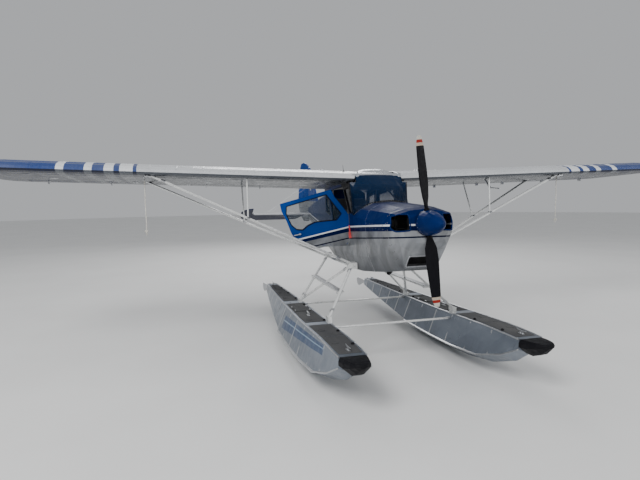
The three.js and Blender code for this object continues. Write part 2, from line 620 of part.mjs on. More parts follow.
// Spinner profile: ahead of the hub and radius, as fractions of its length ahead and its radius
const SPINNER = [[-0.06, 1], [0.12, 0.98], [0.35, 0.89], [0.58, 0.73], [0.78, 0.51], [0.93, 0.27], [1, 0]];
function addPropeller() {
  const turning = new THREE.Group();
  turning.position.copy(at(0, 0, 0));
  turning.rotation.x = PROP_ANGLE;
  aircraft.add(turning);
  const blade = (side) => loft(BLADE.map(([radius, chord, thickness, pitch]) => {
    const angle = THREE.MathUtils.degToRad(pitch);
    const ahead = [Math.sin(angle), Math.cos(angle)];
    return STREAMLINE.map(([fore, across]) => new THREE.Vector3(
      fore * chord * ahead[0] + across * thickness * ahead[1],
      -side * (fore * chord * ahead[1] - across * thickness * ahead[0]), side * radius));
  }));
  const reach = new THREE.Vector3(0, 0, SPINNER_RADIUS + 25);
  const barrels = rod(reach.clone().negate(), reach, BARREL, 16);
  const boss = rod(new THREE.Vector3(-40, 0, 0), new THREE.Vector3(60, 0, 0), 68, 20);
  addPiece('propeller', joined(boss, barrels, blade(1), blade(-1)), 'black', turning);

  const shellThickness = 8;
  const outer = SPINNER.map(([ahead, radius]) => new THREE.Vector2(
    radius * SPINNER_RADIUS, ahead * SPINNER_NOSE));
  const inner = SPINNER.map(([ahead, radius]) => new THREE.Vector2(
    radius * (SPINNER_RADIUS - shellThickness), ahead * (SPINNER_NOSE - shellThickness))).reverse();
  inner.at(-1).setY(outer[0].y);
  const geometry = new THREE.LatheGeometry([...outer, ...inner, outer[0].clone()], 24);
  const spinner = solid(geometry.rotateZ(-Math.PI / 2));
  const holes = rod(reach.clone().multiplyScalar(-2), reach.clone().multiplyScalar(2), BARREL + SEAM, 16);
  addPiece('spinner', spinner.subtract(holes), 'blue', turning);
}

// Tail surfaces: flat panels of one thickness. Rest angles in degrees: the rudder's trailing edge
// stands to the right, the elevators' hang down
const TAIL_THICK = 26;
const TAIL_UP = -50;           // level of the stabilizers
const RUDDER_AXIS = 6050;
const RUDDER_REST = 15;
const ELEVATOR_AXIS = 5970;
const ELEVATOR_REST = -20;
const FIN = [[5120, 150], [5480, 560], [5800, 900], [5890, 985], [TAIL_POST, 1015], [TAIL_POST, 40]];
const RUDDER = [[RUDDER_AXIS, -250], [6290, -250], [6470, -110], [6545, 120], [6552, 300], [6525, 560],
  [6480, 820], [6430, 1020], [6370, 1110], [6240, 1125], [6120, 1085], [RUDDER_AXIS, 1040]];
// The tip of the stabilizer, ahead of the hinge, is a horn of the elevator
const HORN_FROM = 1350;
const STABILIZER = [[5290, 40], [5300, 150], [5560, 1150], [5622, HORN_FROM - 10], [5950, HORN_FROM - 10],
  [5950, 40]];
const ELEVATOR = [[ELEVATOR_AXIS, 46], [6110, 120], [6400, 275], [6405, 1250], [6360, 1460], [6250, 1570],
  [6110, 1600], [5850, 1598], [5740, 1555], [5650, 1440], [5625, HORN_FROM], [ELEVATOR_AXIS, HORN_FROM]];
// The rudder turns on pins in three lugs: the lowest on the rear fuselage, the others on the fin
const RUDDER_LUGS = [-110, 350, 860];
const RUDDER_PIN = 5;
const rudderPin = (up, reach, radius) => rod(
  at(RUDDER_AXIS, 0, up - reach), at(RUDDER_AXIS, 0, up + reach), radius, 16);
const rudderLug = (up) => joined(box([TAIL_POST - 20, RUDDER_AXIS + 12], [-8, 8], [up - 5, up + 5]),
  rudderPin(up, 22, RUDDER_PIN));
const TORQUE_TUBE = 11;
function addTail() {
  const rear = hull(TAIL_STATIONS);
  const onAxis = (out) => at(ELEVATOR_AXIS, out, TAIL_UP);
  const tube = rod(onAxis(-100), onAxis(100), TORQUE_TUBE + 1, 16);
  const [lowLug, ...finLugs] = RUDDER_LUGS;
  addPiece('rear_fuselage', rear.subtract(tube).add(rudderLug(lowLug)), 'cloth');
  const cutter = hullPast(TAIL_STATIONS, SEAM);
  const half = TAIL_THICK / 2;
  addPiece('fin', joined(sidePrism(FIN, -half, half).subtract(cutter), ...finLugs.map(rudderLug)), 'cloth');
  let rudder = joined(sidePrism(RUDDER, -half, half),
    rod(at(RUDDER_AXIS, 0, -250), at(RUDDER_AXIS, 0, 1040), half));
  for (const up of RUDDER_LUGS) {
    const notch = box([RUDDER_AXIS - 20, RUDDER_AXIS + 24], [-20, 20], [up - 10, up + 10]);
    rudder = rudder.subtract(notch).subtract(rudderPin(up, 26, RUDDER_PIN + PIN_PLAY));
  }
  addPiece('rudder', turnedAbout(rudder, at(RUDDER_AXIS, 0, 0), [0, 0, RUDDER_REST]), 'blue');
  for (const [name, side] of SIDES) {
    const panel = (outline) => topPrism(outline.map(([aft, out]) => [aft, side * out]),
      TAIL_UP - half, TAIL_UP + half);
    addPiece(`stabilizer_${name}`, panel(STABILIZER).subtract(cutter), 'cloth');
    const inner = ELEVATOR[0][1];
    let elevator = joined(panel(ELEVATOR), rod(onAxis(side * inner), onAxis(side * HORN_FROM), half));
    if (side > 0) elevator = elevator.add(rod(onAxis(SEAM - inner), onAxis(inner + 5), TORQUE_TUBE, 16));
    addPiece(`elevator_${name}`, turnedAbout(elevator, onAxis(0), [0, ELEVATOR_REST, 0]), 'cloth');
  }
}

// Floats: aft, deck half width, deck up, chine half width, chine up, keel up
const STEP = 2350;
const FLOAT_BOW = -450;
const FLOAT_STATIONS = [
  [FLOAT_BOW, 160, -1350, 166, -1470, -1525],
  [-200, 172, -1345, 215, -1600, -1700],
  [250, 178, -1345, 272, -1735, -1860],
  [850, 184, -1368, 312, -1775, -1950],
  [1450, 186, -1395, 325, -1785, -1980],
  [STEP, 180, -1420, 325, -1785, -1980],
  [STEP + 1, 180, -1420, 318, -1768, -1912],
  [3400, 158, -1450, 250, -1712, -1835],
  [4300, 128, -1475, 175, -1665, -1770],
  [4950, 100, -1492, 118, -1628, -1715]];
// Bow bumper: aft, half width, top, bottom
const BUMPER_STATIONS = [
  [FLOAT_BOW - SEAM, 163, -1350, -1526], [-560, 152, -1341, -1524], [-680, 118, -1335, -1470],
  [-745, 82, -1336, -1415], [-772, 45, -1345, -1385]];
const [STERN, , STERN_UP] = FLOAT_STATIONS.at(-1);

function floatHull(side, grow = 0) {
  const [keelHalf, gunwale] = [14, 12];
  return loft(FLOAT_STATIONS.map(([aft, deckHalf, deckUp, chineHalf, chineUp, keelUp]) => {
    const half = [[deckHalf - gunwale, deckUp + grow], [deckHalf + grow, deckUp - gunwale],
      [chineHalf + grow, chineUp], [keelHalf, keelUp - grow]];
    const mirrored = half.toReversed().map(([across, up]) => [-across, up]);
    return [...half, ...mirrored].map(([across, up]) => at(aft, side * FLOAT_SPREAD + across, up));
  }));
}

// Water rudder: steering post behind the stern, and a blade that lifts on a pin in its yoke.
// At rest it is steered with the rudder
const WATER_RUDDER_REST = 1.2 * RUDDER_REST;
const STEER_AFT = STERN + 48;
const LIFT_AFT = STERN + 115;
const LIFT_UP = STERN_UP - 98;
const BLADE_REACH = [[-18, 0], [-12, 14], [0, 18], [60, 22], [300, 60], [340, 40], [345, -20], [320, -95],
  [260, -120], [60, -24], [0, -18], [-12, -14]];
function addWaterRudder(name, middle, float) {
  const lugs = [-35, -175].map((drop) => box([STERN - 20, STEER_AFT + 24], [middle - 24, middle + 24],
    [STERN_UP + drop - 9, STERN_UP + drop + 9]));
  const bore = rod(at(STEER_AFT, middle, STERN_UP - 300), at(STEER_AFT, middle, STERN_UP + 100), 9.8, 20);
  const post = rod(at(STEER_AFT, middle, STERN_UP - 200), at(STEER_AFT, middle, STERN_UP - 10), 9, 20);
  const arm = box([STEER_AFT - 14, LIFT_AFT + 22], [middle - 16, middle + 16], [LIFT_UP - 40, LIFT_UP + 40]);
  const slot = box([LIFT_AFT - 26, LIFT_AFT + 40], [middle - 7, middle + 7], [LIFT_UP - 90, LIFT_UP + 90]);
  const pinBore = rod(at(LIFT_AFT, middle - 40, LIFT_UP), at(LIFT_AFT, middle + 40, LIFT_UP), 6.8, 16);
  const steered = (body) => turnedAbout(body, at(STEER_AFT, middle, 0), [0, 0, WATER_RUDDER_REST]);
  const yoke = joined(post, arm).subtract(slot).subtract(pinBore);
  addPiece(`water_rudder_yoke_${name}`, steered(yoke), 'metal');
  const raised = BLADE_REACH.map(([aft, up]) => [LIFT_AFT + aft, LIFT_UP + up]);
  const pin = rod(at(LIFT_AFT, middle - 16, LIFT_UP), at(LIFT_AFT, middle + 16, LIFT_UP), 6, 16);
  const plate = sidePrism(raised, middle - 5, middle + 5);
  addPiece(`water_rudder_${name}`, steered(plate.add(pin)), 'metal');
  return joined(float, ...lugs).subtract(bore);
}

// Struts. Fuselage fittings, float fittings, and where the lift struts meet the wing
const FRONT_FITTING = [[1555, 1695], [345, 462], [-745, -655]];
const REAR_FITTING = [[2950, 3050], [330, 430], [-720, -650]];
const FLOAT_FRONT = [1047, 923, -1300];
const FLOAT_REAR = [2716, 960, -1396];
const JURY_OUT = 1915;

function across(side, [aft, out, up]) {
  return at(aft, side * out, up);
}

function sided(side, [lengths, widths, heights]) {
  const [near, far] = widths.map((out) => side * out);
  return [lengths, side > 0 ? [near, far] : [far, near], heights];
}

function addStruts(name, side) {
  const wing = wingCutter(side);
  const fitting = box(...sided(side, FRONT_FITTING), SEAM);
  // Lift struts: name, foot, top, chord, thickness, jury strut's top
  const lift = [
    ['front', [1592, 420, -668], [1704, 3225, 650], 92, 34, [1690, JURY_OUT, 640]],
    ['rear', [1655, 420, -706], [2657, 3473, 650], 82, 30, [2500, JURY_OUT, 620]]];
  for (const [which, foot, top, chord, thickness, juryTop] of lift) {
    const part = (JURY_OUT - foot[1]) / (top[1] - foot[1]);
    const juryFoot = foot.map((value, index) => value + (top[index] - value) * part);
    const whole = joined(strut(across(side, foot), across(side, top), chord, thickness, 0.5),
      rod(across(side, juryFoot), across(side, juryTop), 11, 10));
    addPiece(`lift_strut_${which}_${name}`, whole.subtract(wing).subtract(fitting), 'silver');
  }
  const floatCut = floatHull(side, SEAM);
  const fuselageCut = joined(inCabin(SEAM), hullPast(CABIN_STATIONS, SEAM));
  const blocks = [[FLOAT_FRONT, 60], [FLOAT_REAR, 70]].map(([[aft, out, up], half]) => box(
    ...sided(side, [[aft - half, aft + half], [out - 22, out + 34], [up - 95, up + 12]])));
  const bars = [
    strut(across(side, [1610, 420, -700]), across(side, FLOAT_FRONT), 78, 34),
    strut(across(side, [1650, 420, -700]), across(side, FLOAT_REAR), 60, 28),
    strut(across(side, [3000, 390, -690]), across(side, FLOAT_REAR), 78, 34)];
  const step = box(...sided(side, [[1310, 2885], [622, 722], [-1040, -1018]]));
  const fittings = [FRONT_FITTING, REAR_FITTING].map((size) => box(...sided(side, size)));
  const frame = joined(...fittings, ...blocks, ...bars, step).subtract(floatCut).subtract(fuselageCut);
  addPiece(`float_struts_${name}`, frame, 'silver');
}

function addFloats() {
  const hulls = [];
  for (const [name, side] of SIDES) {
    const middle = side * FLOAT_SPREAD;
    const float = addWaterRudder(name, middle, floatHull(side));
    addPiece(`float_${name}`, float, 'silver');
    const bumper = loft(BUMPER_STATIONS.map(([aft, half, top, bottom]) => {
      const round = (top - bottom) / 4;
      const corners = [
        [half - round / 2, top], [half, top - round], [half, bottom + 2 * round], [half / 3, bottom]];
      const mirrored = corners.toReversed().map(([out, up]) => [-out, up]);
      return [...corners, ...mirrored].map(([out, up]) => at(aft, middle + out, up));
    }));
    addPiece(`bumper_${name}`, bumper, 'rubber');
    addStruts(name, side);
    hulls.push(floatHull(side, SEAM));
  }
  for (const [which, aft, up] of [['front', 1047, -1447], ['rear', 2700, -1462]]) {
    const reach = FLOAT_SPREAD - 100;
    const bar = strut(at(aft, -reach, up), at(aft, reach, up), 66, 30);
    addPiece(`spreader_${which}`, bar.subtract(hulls[0]).subtract(hulls[1]), 'silver');
  }
}

function addPitot() {
  const tip = at(1480, 1970, 410);
  const bend = at(1735, 1970, 430);
  const mast = strut(bend, at(1976, 1970, 640), 46, 16);
  addPiece('pitot', joined(mast, rod(tip, bend, 9, 10)).subtract(wingCutter(1)), 'metal');
}

// Handling ropes: they hang from the wing's underside. Points: aft, outboard, up
const ROPE_RADIUS = 7;
const ROPE = [[1800, 3275, 612], [1800, 3275, 560], [1801, 3276, 440], [1799, 3278, 300], [1802, 3276, 150],
  [1800, 3273, 10], [1801, 3275, -130]];
function addRopes() {
  for (const [name, side] of SIDES) {
    const route = new THREE.CatmullRomCurve3(ROPE.map((place) => across(side, place)));
    const section = new THREE.Shape();
    const faces = 8;
    for (let i = 0; i < faces; i++) {
      const turn = 2 * Math.PI * i / faces;
      const [x, y] = [ROPE_RADIUS * Math.cos(turn), ROPE_RADIUS * Math.sin(turn)];
      if (i === 0) section.moveTo(x, y);
      else section.lineTo(x, y);
    }
    const swept = { extrudePath: route, steps: 36, bevelEnabled: false };
    const geometry = new THREE.ExtrudeGeometry(section, swept);
    addPiece(`wing_rope_${name}`, solid(geometry).subtract(wingCutter(side)), 'rope');
  }
}

addPropeller();
addCowl();
addCabin();
addWindshield();
addRoof();
addDoor();
addFurniture();
for (const [name, side] of SIDES) addWing(name, side);
addTail();
addFloats();
addPitot();
addRopes();

export default aircraft;
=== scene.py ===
import bpy
import bmesh
import math
from mathutils import Matrix, Vector
from mathutils.bvhtree import BVHTree


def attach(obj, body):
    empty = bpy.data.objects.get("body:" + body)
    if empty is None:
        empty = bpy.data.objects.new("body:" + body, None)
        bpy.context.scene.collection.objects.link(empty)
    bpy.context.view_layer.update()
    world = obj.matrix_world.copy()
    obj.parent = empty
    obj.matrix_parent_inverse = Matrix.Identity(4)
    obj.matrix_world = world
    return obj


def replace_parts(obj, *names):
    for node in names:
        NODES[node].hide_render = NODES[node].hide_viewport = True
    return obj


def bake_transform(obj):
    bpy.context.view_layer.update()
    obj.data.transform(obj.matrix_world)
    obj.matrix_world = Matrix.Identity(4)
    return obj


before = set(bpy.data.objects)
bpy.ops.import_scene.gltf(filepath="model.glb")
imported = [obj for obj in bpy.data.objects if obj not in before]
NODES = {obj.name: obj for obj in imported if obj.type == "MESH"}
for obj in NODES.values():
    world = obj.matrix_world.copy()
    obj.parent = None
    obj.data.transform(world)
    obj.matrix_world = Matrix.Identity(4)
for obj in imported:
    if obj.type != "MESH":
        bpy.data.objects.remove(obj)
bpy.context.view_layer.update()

HUB_AHEAD, HUB_HEIGHT = 2.890, 1.980
SIDES = (("left", 1), ("right", -1))
# A float's middle across, and a height over everything, to look down from
FLOAT_OUT, OVERHEAD = 1.086, 1.2


def at(aft, across, up):
    """A point from its place aft of the propeller hub, across, and up from the thrust line."""
    return Vector((HUB_AHEAD - aft, across, HUB_HEIGHT + up))


def sided(side, aft, out, up):
    """The same, with the place across counted outwards on one side."""
    return at(aft, side * out, up)


# The door's own frame: aft from the hinge, up, and through towards the cabin
SIDE_HALF, SIDE_LEAN, DOOR_HINGE, DOOR_OPEN, DOOR_THICK = 0.413, 0.07, 1.715, 92, 0.030
DOOR_AXIS = Vector((0.11, -SIDE_LEAN, 1)).normalized()
DOOR_UP = Vector((0, -SIDE_LEAN, 1)).normalized()
AFT, UP, DOWN = Vector((-1, 0, 0)), Vector((0, 0, 1)), Vector((0, 0, -1))
DOOR_PLACE = Matrix.Translation(at(DOOR_HINGE, -SIDE_HALF, 0)) @ Matrix.Rotation(
    math.radians(DOOR_OPEN), 4, DOOR_AXIS) @ Matrix((AFT, DOOR_UP, AFT.cross(DOOR_UP))).transposed().to_4x4()


# Camera, solved from the photograph: yaw, pitch and roll in degrees, lens in millimetres
CAMERA_TURN, CAMERA_PLACE, CAMERA_LENS = (165.43, -5.04, -0.77), (8.125, -2.672, HUB_HEIGHT + 0.321), 27.6


def make_camera():
    yaw, pitch, roll = (math.radians(a) for a in CAMERA_TURN)
    ahead = Vector((math.cos(yaw) * math.cos(pitch), math.sin(yaw) * math.cos(pitch), math.sin(pitch)))
    right = ahead.cross(UP).normalized()
    up = right.cross(ahead)
    level = right * math.cos(roll) + up * math.sin(roll)
    upright = up * math.cos(roll) - right * math.sin(roll)
    data = bpy.data.cameras.new("camera")
    data.lens, data.sensor_width = CAMERA_LENS, 36
    data.clip_start, data.clip_end = 0.05, 500
    camera = bpy.data.objects.new("camera", data)
    camera.matrix_world = Matrix.Translation(CAMERA_PLACE) @ Matrix((level, upright, -ahead)).transposed().to_4x4()
    bpy.context.scene.collection.objects.link(camera)
    bpy.context.scene.camera = camera


make_camera()


# Materials, made of nodes that work from the object's own coordinates
class Paint:
    def __init__(self, name, colour=(0.5, 0.5, 0.5), rough=0.4, metal=0.0, coat=0.0, coat_rough=0.08, **sockets):
        self.material = bpy.data.materials.new(name)
        self.material.use_nodes = True
        self.tree = self.material.node_tree
        self.shader = self.tree.nodes["Principled BSDF"]
        self.put("Base Color", colour)
        self.put("Roughness", rough)
        self.put("Metallic", metal)
        self.put("Coat Weight", coat)
        self.put("Coat Roughness", coat_rough)
        for key, value in sockets.items():
            self.put(key.replace("_", " "), value)
        self.coords = self.node("ShaderNodeTexCoord").outputs["Object"]
        split = self.node("ShaderNodeSeparateXYZ", Vector=self.coords)
        self.x, self.y, self.z = split.outputs
        facing = self.node("ShaderNodeTexCoord").outputs["Normal"]
        self.facing_up = self.node("ShaderNodeSeparateXYZ", Vector=facing).outputs[2]

    def feed(self, socket, value):
        if isinstance(value, bpy.types.NodeSocket):
            self.tree.links.new(value, socket)
        elif hasattr(value, "__len__") and len(value) == 3 and socket.type == "RGBA":
            socket.default_value = (*value, 1)
        else:
            socket.default_value = value

    def put(self, name, value):
        self.feed(self.shader.inputs[name], value)
        return self

    def node(self, kind, settings=(), **inputs):
        made = self.tree.nodes.new(kind)
        for key, value in dict(settings).items():
            setattr(made, key, value)
        for key, value in inputs.items():
            self.feed(made.inputs[key.replace("_", " ")], value)
        return made

    def math(self, operation, *values, clamp=False):
        made = self.node("ShaderNodeMath", {"operation": operation, "use_clamp": clamp})
        for socket, value in zip(made.inputs, values):
            self.feed(socket, value)
        return made.outputs[0]

    def plus(self, first, second):
        return self.math("ADD", first, second)

    def minus(self, first, second):
        return self.math("SUBTRACT", first, second)

    def times(self, first, second):
        return self.math("MULTIPLY", first, second)

    def map(self, value, low, high, to_low=0.0, to_high=1.0):
        made = self.node("ShaderNodeMapRange", {"clamp": True}, Value=value)
        for key, number in (("From Min", low), ("From Max", high), ("To Min", to_low), ("To Max", to_high)):
            made.inputs[key].default_value = number
        return made.outputs[0]

    def above(self, value, level, soft=0.001):
        """1 where value is over level, which may be a number or a socket."""
        return self.map(self.minus(value, level), -soft, soft)

    def within(self, value, low, high, soft=0.001):
        """1 between two levels."""
        return self.times(self.above(value, low, soft), self.minus(1.0, self.above(value, high, soft)))

    def both(self, *masks):
        """1 where every mask is 1."""
        whole = masks[0]
        for mask in masks[1:]:
            whole = self.times(whole, mask)
        return whole

    def along(self, place, axis):
        """How far a spot is from the origin of a frame along one of its axes."""
        away = self.node("ShaderNodeVectorMath", {"operation": "SUBTRACT"})
        self.feed(away.inputs[0], self.coords)
        away.inputs[1].default_value = place.translation
        dot = self.node("ShaderNodeVectorMath", {"operation": "DOT_PRODUCT"})
        self.feed(dot.inputs[0], away.outputs[0])
        dot.inputs[1].default_value = place.to_3x3().col[axis]
        return dot.outputs["Value"]

    def noise(self, scale, detail=4.0, stretch=(1, 1, 1), rough=0.55, distort=0.0):
        place = self.node("ShaderNodeMapping", Vector=self.coords, Scale=stretch)
        made = self.node("ShaderNodeTexNoise", Vector=place.outputs[0], Scale=scale, Detail=detail,
                         Roughness=rough, Distortion=distort)
        return made.outputs["Fac"]

    def patches(self, scale, detail, low, high, to_low=0.0, to_high=1.0, stretch=(1, 1, 1), distort=0.0):
        """Noise, from one of its levels to another."""
        return self.map(self.noise(scale, detail, stretch, distort=distort), low, high, to_low, to_high)

    def mix(self, factor, first, second, blend="MIX"):
        made = self.node("ShaderNodeMix", {"data_type": "RGBA", "blend_type": blend})
        self.feed(made.inputs[0], factor)
        self.feed(made.inputs[6], first)
        self.feed(made.inputs[7], second)
        return made.outputs[2]

    def ramp(self, value, stops, constant=False):
        made = self.node("ShaderNodeValToRGB", Fac=value)
        ramp = made.color_ramp
        ramp.interpolation = "CONSTANT" if constant else "LINEAR"
        while len(ramp.elements) < len(stops):
            ramp.elements.new(0.5)
        for element, (place, colour) in zip(ramp.elements, stops):
            element.position, element.color = place, (*colour, 1)
        return made.outputs[0]

    def line(self, value, points, reach=8.0):
        """A level that runs through points as value grows: pairs of value and level."""
        made = self.node("ShaderNodeFloatCurve", Value=self.math("DIVIDE", value, reach))
        curve = made.mapping.curves[0]
        low, high = -2.0, 2.0
        for index, (place, level) in enumerate(points):
            spot = (place / reach, (level - low) / (high - low))
            if index < 2:
                curve.points[index].location = spot
            else:
                curve.points.new(*spot)
        for point in curve.points:
            point.handle_type = "VECTOR"
        made.mapping.update()
        return self.math("MULTIPLY_ADD", made.outputs[0], high - low, low)

    def bump(self, *layers):
        """Layers of height: socket, distance in metres, strength."""
        normal = None
        for height, distance, strength in layers:
            made = self.node("ShaderNodeBump", Height=height, Distance=distance, Strength=strength)
            if normal is not None:
                self.feed(made.inputs["Normal"], normal)
            normal = made.outputs[0]
        return self.put("Normal", normal)


# BLUE is the paint's own blue; SHADED_BLUE is a darker copy of it, painted shade for the body's blue, the spinner and
# the inlet lips
BLUE, SHADED_BLUE, NAVY = (0.0015, 0.032, 0.17), (0.0008, 0.011, 0.07), (0.001, 0.004, 0.025)
BLACK = (0.003, 0.003, 0.005)
WHITE, SILVER, DULL = (0.72, 0.74, 0.76), (0.36, 0.375, 0.40), (0.17, 0.18, 0.195)
CABIN_GREY = (0.010, 0.010, 0.012)


def shade(part, colour):
    return tuple(part * c for c in colour)


def weathered(paint, colour, amount=0.12, scale=2.2, dirt=(0.25, 0.24, 0.22)):
    """Slow changes of tone and a little grime over a colour."""
    broad = paint.patches(scale, 5, 0.35, 0.75, 0, amount, stretch=(1, 1, 1.6))
    fine = paint.patches(38, 3, 0.55, 0.8, 0, amount * 0.8, stretch=(1, 1, 0.4))
    return paint.mix(fine, paint.mix(broad, colour, dirt), dirt)


def aft_up(paint):
    return paint.minus(HUB_AHEAD, paint.x), paint.minus(paint.z, HUB_HEIGHT)


def painted_side(name, white_line, band_line, pin_line, cloth_from=9.0, place=None):
    """Blue above a white pinstripe, a blue band below it, then silver with a dark pinstripe. Dark inside. Painted light
    and shade: the door's blue is lighter, the body's darker and darker still where it faces up, black ahead of the
    door, and the silver darker towards the belly.
    """
    paint = Paint(name, IOR=1.12)
    aft, up = aft_up(paint)
    mottle = paint.patches(1.1, 3, 0.3, 0.7)
    if place:
        aft = paint.plus(paint.along(place, 0), DOOR_HINGE)
        up = paint.along(place, 1)
        inside = paint.above(paint.along(place, 2), 0.02)
        # The door's blue runs lighter than the body's: painted light on the door
        blue = paint.mix(mottle, BLUE, (0.002, 0.055, 0.30))
    else:
        wall = paint.map(aft, 2.72, 3.11, SIDE_HALF - 0.018, SIDE_HALF - 0.046)
        half = paint.math("MULTIPLY_ADD", up, SIDE_LEAN, wall)
        inner = paint.above(half, paint.math("ABSOLUTE", paint.y))
        inside = paint.both(inner, paint.within(aft, 1.52, 3.09), paint.within(up, -0.545, 0.6))
        # The body's blue is a darker copy of the paint, and darker again on faces that point up: painted shade
        blue = paint.mix(mottle, SHADED_BLUE, (0.001, 0.018, 0.11))
        blue = paint.mix(paint.map(paint.facing_up, 0.55, 0.95), blue, (0.0005, 0.008, 0.055))
        # Black on the side ahead of the door, round the quarter window: painted shade of the dark cabin seen there
        blue = paint.mix(paint.both(paint.within(aft, 1.49, 1.99), paint.above(up, 0.065)), blue, BLACK)
    white, band, pin = (paint.line(aft, points) for points in (white_line, band_line, pin_line))
    blue = paint.mix(paint.above(up, white), (0.0005, 0.006, 0.045), blue)
    silver = paint.mix(paint.patches(3.4, 6, 0.35, 0.65, stretch=(1, 1, 0.6), distort=0.6), SILVER, DULL)
    # The silver darkens towards the belly: painted shade under the body
    silver = paint.mix(paint.map(up, -0.40, -0.70, 0, 0.55), weathered(paint, silver, 0.25), (0.07, 0.073, 0.08))
    painted = paint.above(up, band)
    colour = paint.mix(painted, silver, blue)
    colour = paint.mix(paint.within(paint.minus(up, white), -0.011, 0.011), colour, WHITE)
    colour = paint.mix(paint.within(paint.minus(up, pin), -0.009, 0.009), colour, NAVY)
    paint.put("Base Color", paint.mix(inside, colour, CABIN_GREY))
    paint.put("Metallic", paint.both(paint.map(painted, 0, 1, 0.6, 0.1), paint.minus(1.0, inside)))
    paint.put("Roughness", paint.plus(paint.map(painted, 0, 1, 0.34, 0.30),
                                      paint.patches(14, 4, 0.4, 0.8, 0, 0.14)))
    cloth = paint.above(aft, cloth_from, 0.01)
    weave = paint.times(paint.noise(900, 1), cloth)
    dents = paint.noise(3.2, 2, (1, 1, 1.4))
    paint.bump((dents, 0.004, 0.5), (weave, 0.0004, 0.5), (paint.noise(160, 2), 0.0003, 0.35))
    return paint.material


# Heights of the white, band and pin lines, at places aft, along the body and on the door
BODY_LINES = (
    ((0.0, -0.02), (0.35, -0.040), (0.81, -0.069), (1.70, -0.128), (3.1, -0.19), (4.2, -0.15), (5.2, -0.08),
     (6.1, -0.03)),
    ((0.0, -0.088), (0.35, -0.109), (0.81, -0.140), (1.70, -0.200), (3.1, -0.26), (4.2, -0.205), (5.2, -0.12),
     (6.1, -0.06)),
    ((0.19, -0.179), (0.35, -0.191), (0.81, -0.228), (1.70, -0.300), (3.1, -0.36), (4.2, -0.27), (5.2, -0.16),
     (6.1, -0.09)))
DOOR_LINES = (
    ((1.723, -0.132), (2.487, -0.149)), ((1.769, -0.204), (2.444, -0.206)), ((1.774, -0.299), (2.258, -0.301)))


def wing_paint():
    """Silver cloth with blue and white bands near the tips, and tapes over the ribs. Its underside is darkened as
    painted shade.
    """
    paint = Paint("wing_paint", rough=0.3, coat=0.1, Specular_IOR_Level=0.35)
    out = paint.math("ABSOLUTE", paint.y)
    reach, rib_gap = 6.0, 0.33
    bands = ((0, (0.60, 0.615, 0.635)), (3.346, BLUE), (3.392, WHITE), (3.556, BLUE), (3.630, WHITE), (3.740, BLUE),
             (3.872, WHITE), (3.976, BLUE), (4.216, WHITE), (4.292, BLUE))
    colour = paint.ramp(paint.math("DIVIDE", out, reach), [(y / reach, c) for y, c in bands], constant=True)
    colour = weathered(paint, colour, 0.2, 1.3, (0.27, 0.27, 0.27))
    # Faces that point down are multiplied much darker: painted shade under the wing
    paint.put("Base Color", paint.mix(paint.map(paint.facing_up, 0.25, -0.35), colour, (0.13, 0.14, 0.16), "MULTIPLY"))
    paint.put("Metallic", paint.map(paint.above(out, 3.346), 0, 1, 0.25, 0.05))
    paint.put("Roughness", paint.patches(9, 4, 0.35, 0.75, 0.22, 0.42))
    ribs = paint.math("PINGPONG", out, rib_gap / 2)
    tape = paint.map(ribs, 0.0, 0.014, 1, 0)
    sag = paint.map(ribs, 0.0, rib_gap / 2, 1, 0)
    weave = paint.noise(700, 1)
    paint.bump((sag, 0.006, 0.6), (tape, 0.0006, 0.7), (weave, 0.0003, 0.4), (paint.noise(2.5, 2), 0.004, 0.4))
    return paint.material


def plain_paint(name, colour, rough, metal, coat, grime=0.12, second=None, bend=1.45):
    """Even paint in two near tones; bend is its index of refraction."""
    paint = Paint(name, rough=rough, metal=metal, coat=coat, IOR=bend)
    tone = paint.mix(paint.patches(3.0, 4, 0.3, 0.7), colour, second or shade(0.8, colour))
    paint.put("Base Color", weathered(paint, tone, grime, 4.0))
    paint.put("Roughness", paint.plus(rough - 0.05, paint.patches(20, 4, 0.4, 0.8, 0, 0.18)))
    paint.bump((paint.noise(6, 3), 0.002, 0.25), (paint.noise(240, 2), 0.0002, 0.4))
    return paint.material


def fin_paint():
    """Blue fin and rudder, silver below a level a little over the stabilizer."""
    paint = Paint("fin_paint", IOR=1.2)
    high = paint.above(aft_up(paint)[1], 0.22, 0.003)
    blue = paint.mix(paint.patches(3.0, 4, 0.3, 0.7), BLUE, (0.002, 0.05, 0.26))
    silver = paint.mix(paint.patches(4.0, 5, 0.3, 0.7), SILVER, DULL)
    paint.put("Base Color", paint.mix(high, weathered(paint, silver, 0.2), blue))
    paint.put("Metallic", paint.map(high, 0, 1, 0.5, 0.05))
    paint.put("Roughness", paint.plus(0.27, paint.patches(20, 4, 0.4, 0.8, 0, 0.18)))
    paint.bump((paint.noise(6, 3), 0.002, 0.25), (paint.noise(700, 1), 0.0003, 0.4))
    return paint.material


def bare_metal(name, colour, rough):
    """Brushed along the aircraft."""
    paint = Paint(name, rough=rough, metal=0.95)
    lines = paint.noise(30, 4, (1, 12, 12))
    tone = paint.mix(paint.patches(2.4, 5, 0.3, 0.7), colour, shade(0.72, colour))
    paint.put("Base Color", paint.mix(paint.map(lines, 0.5, 0.8, 0, 0.3), tone, (0.3, 0.3, 0.31)))
    paint.put("Roughness", paint.plus(rough, paint.map(lines, 0.4, 0.8, -0.05, 0.16)))
    paint.bump((lines, 0.0003, 0.4), (paint.noise(5, 3), 0.002, 0.3))
    return paint.material


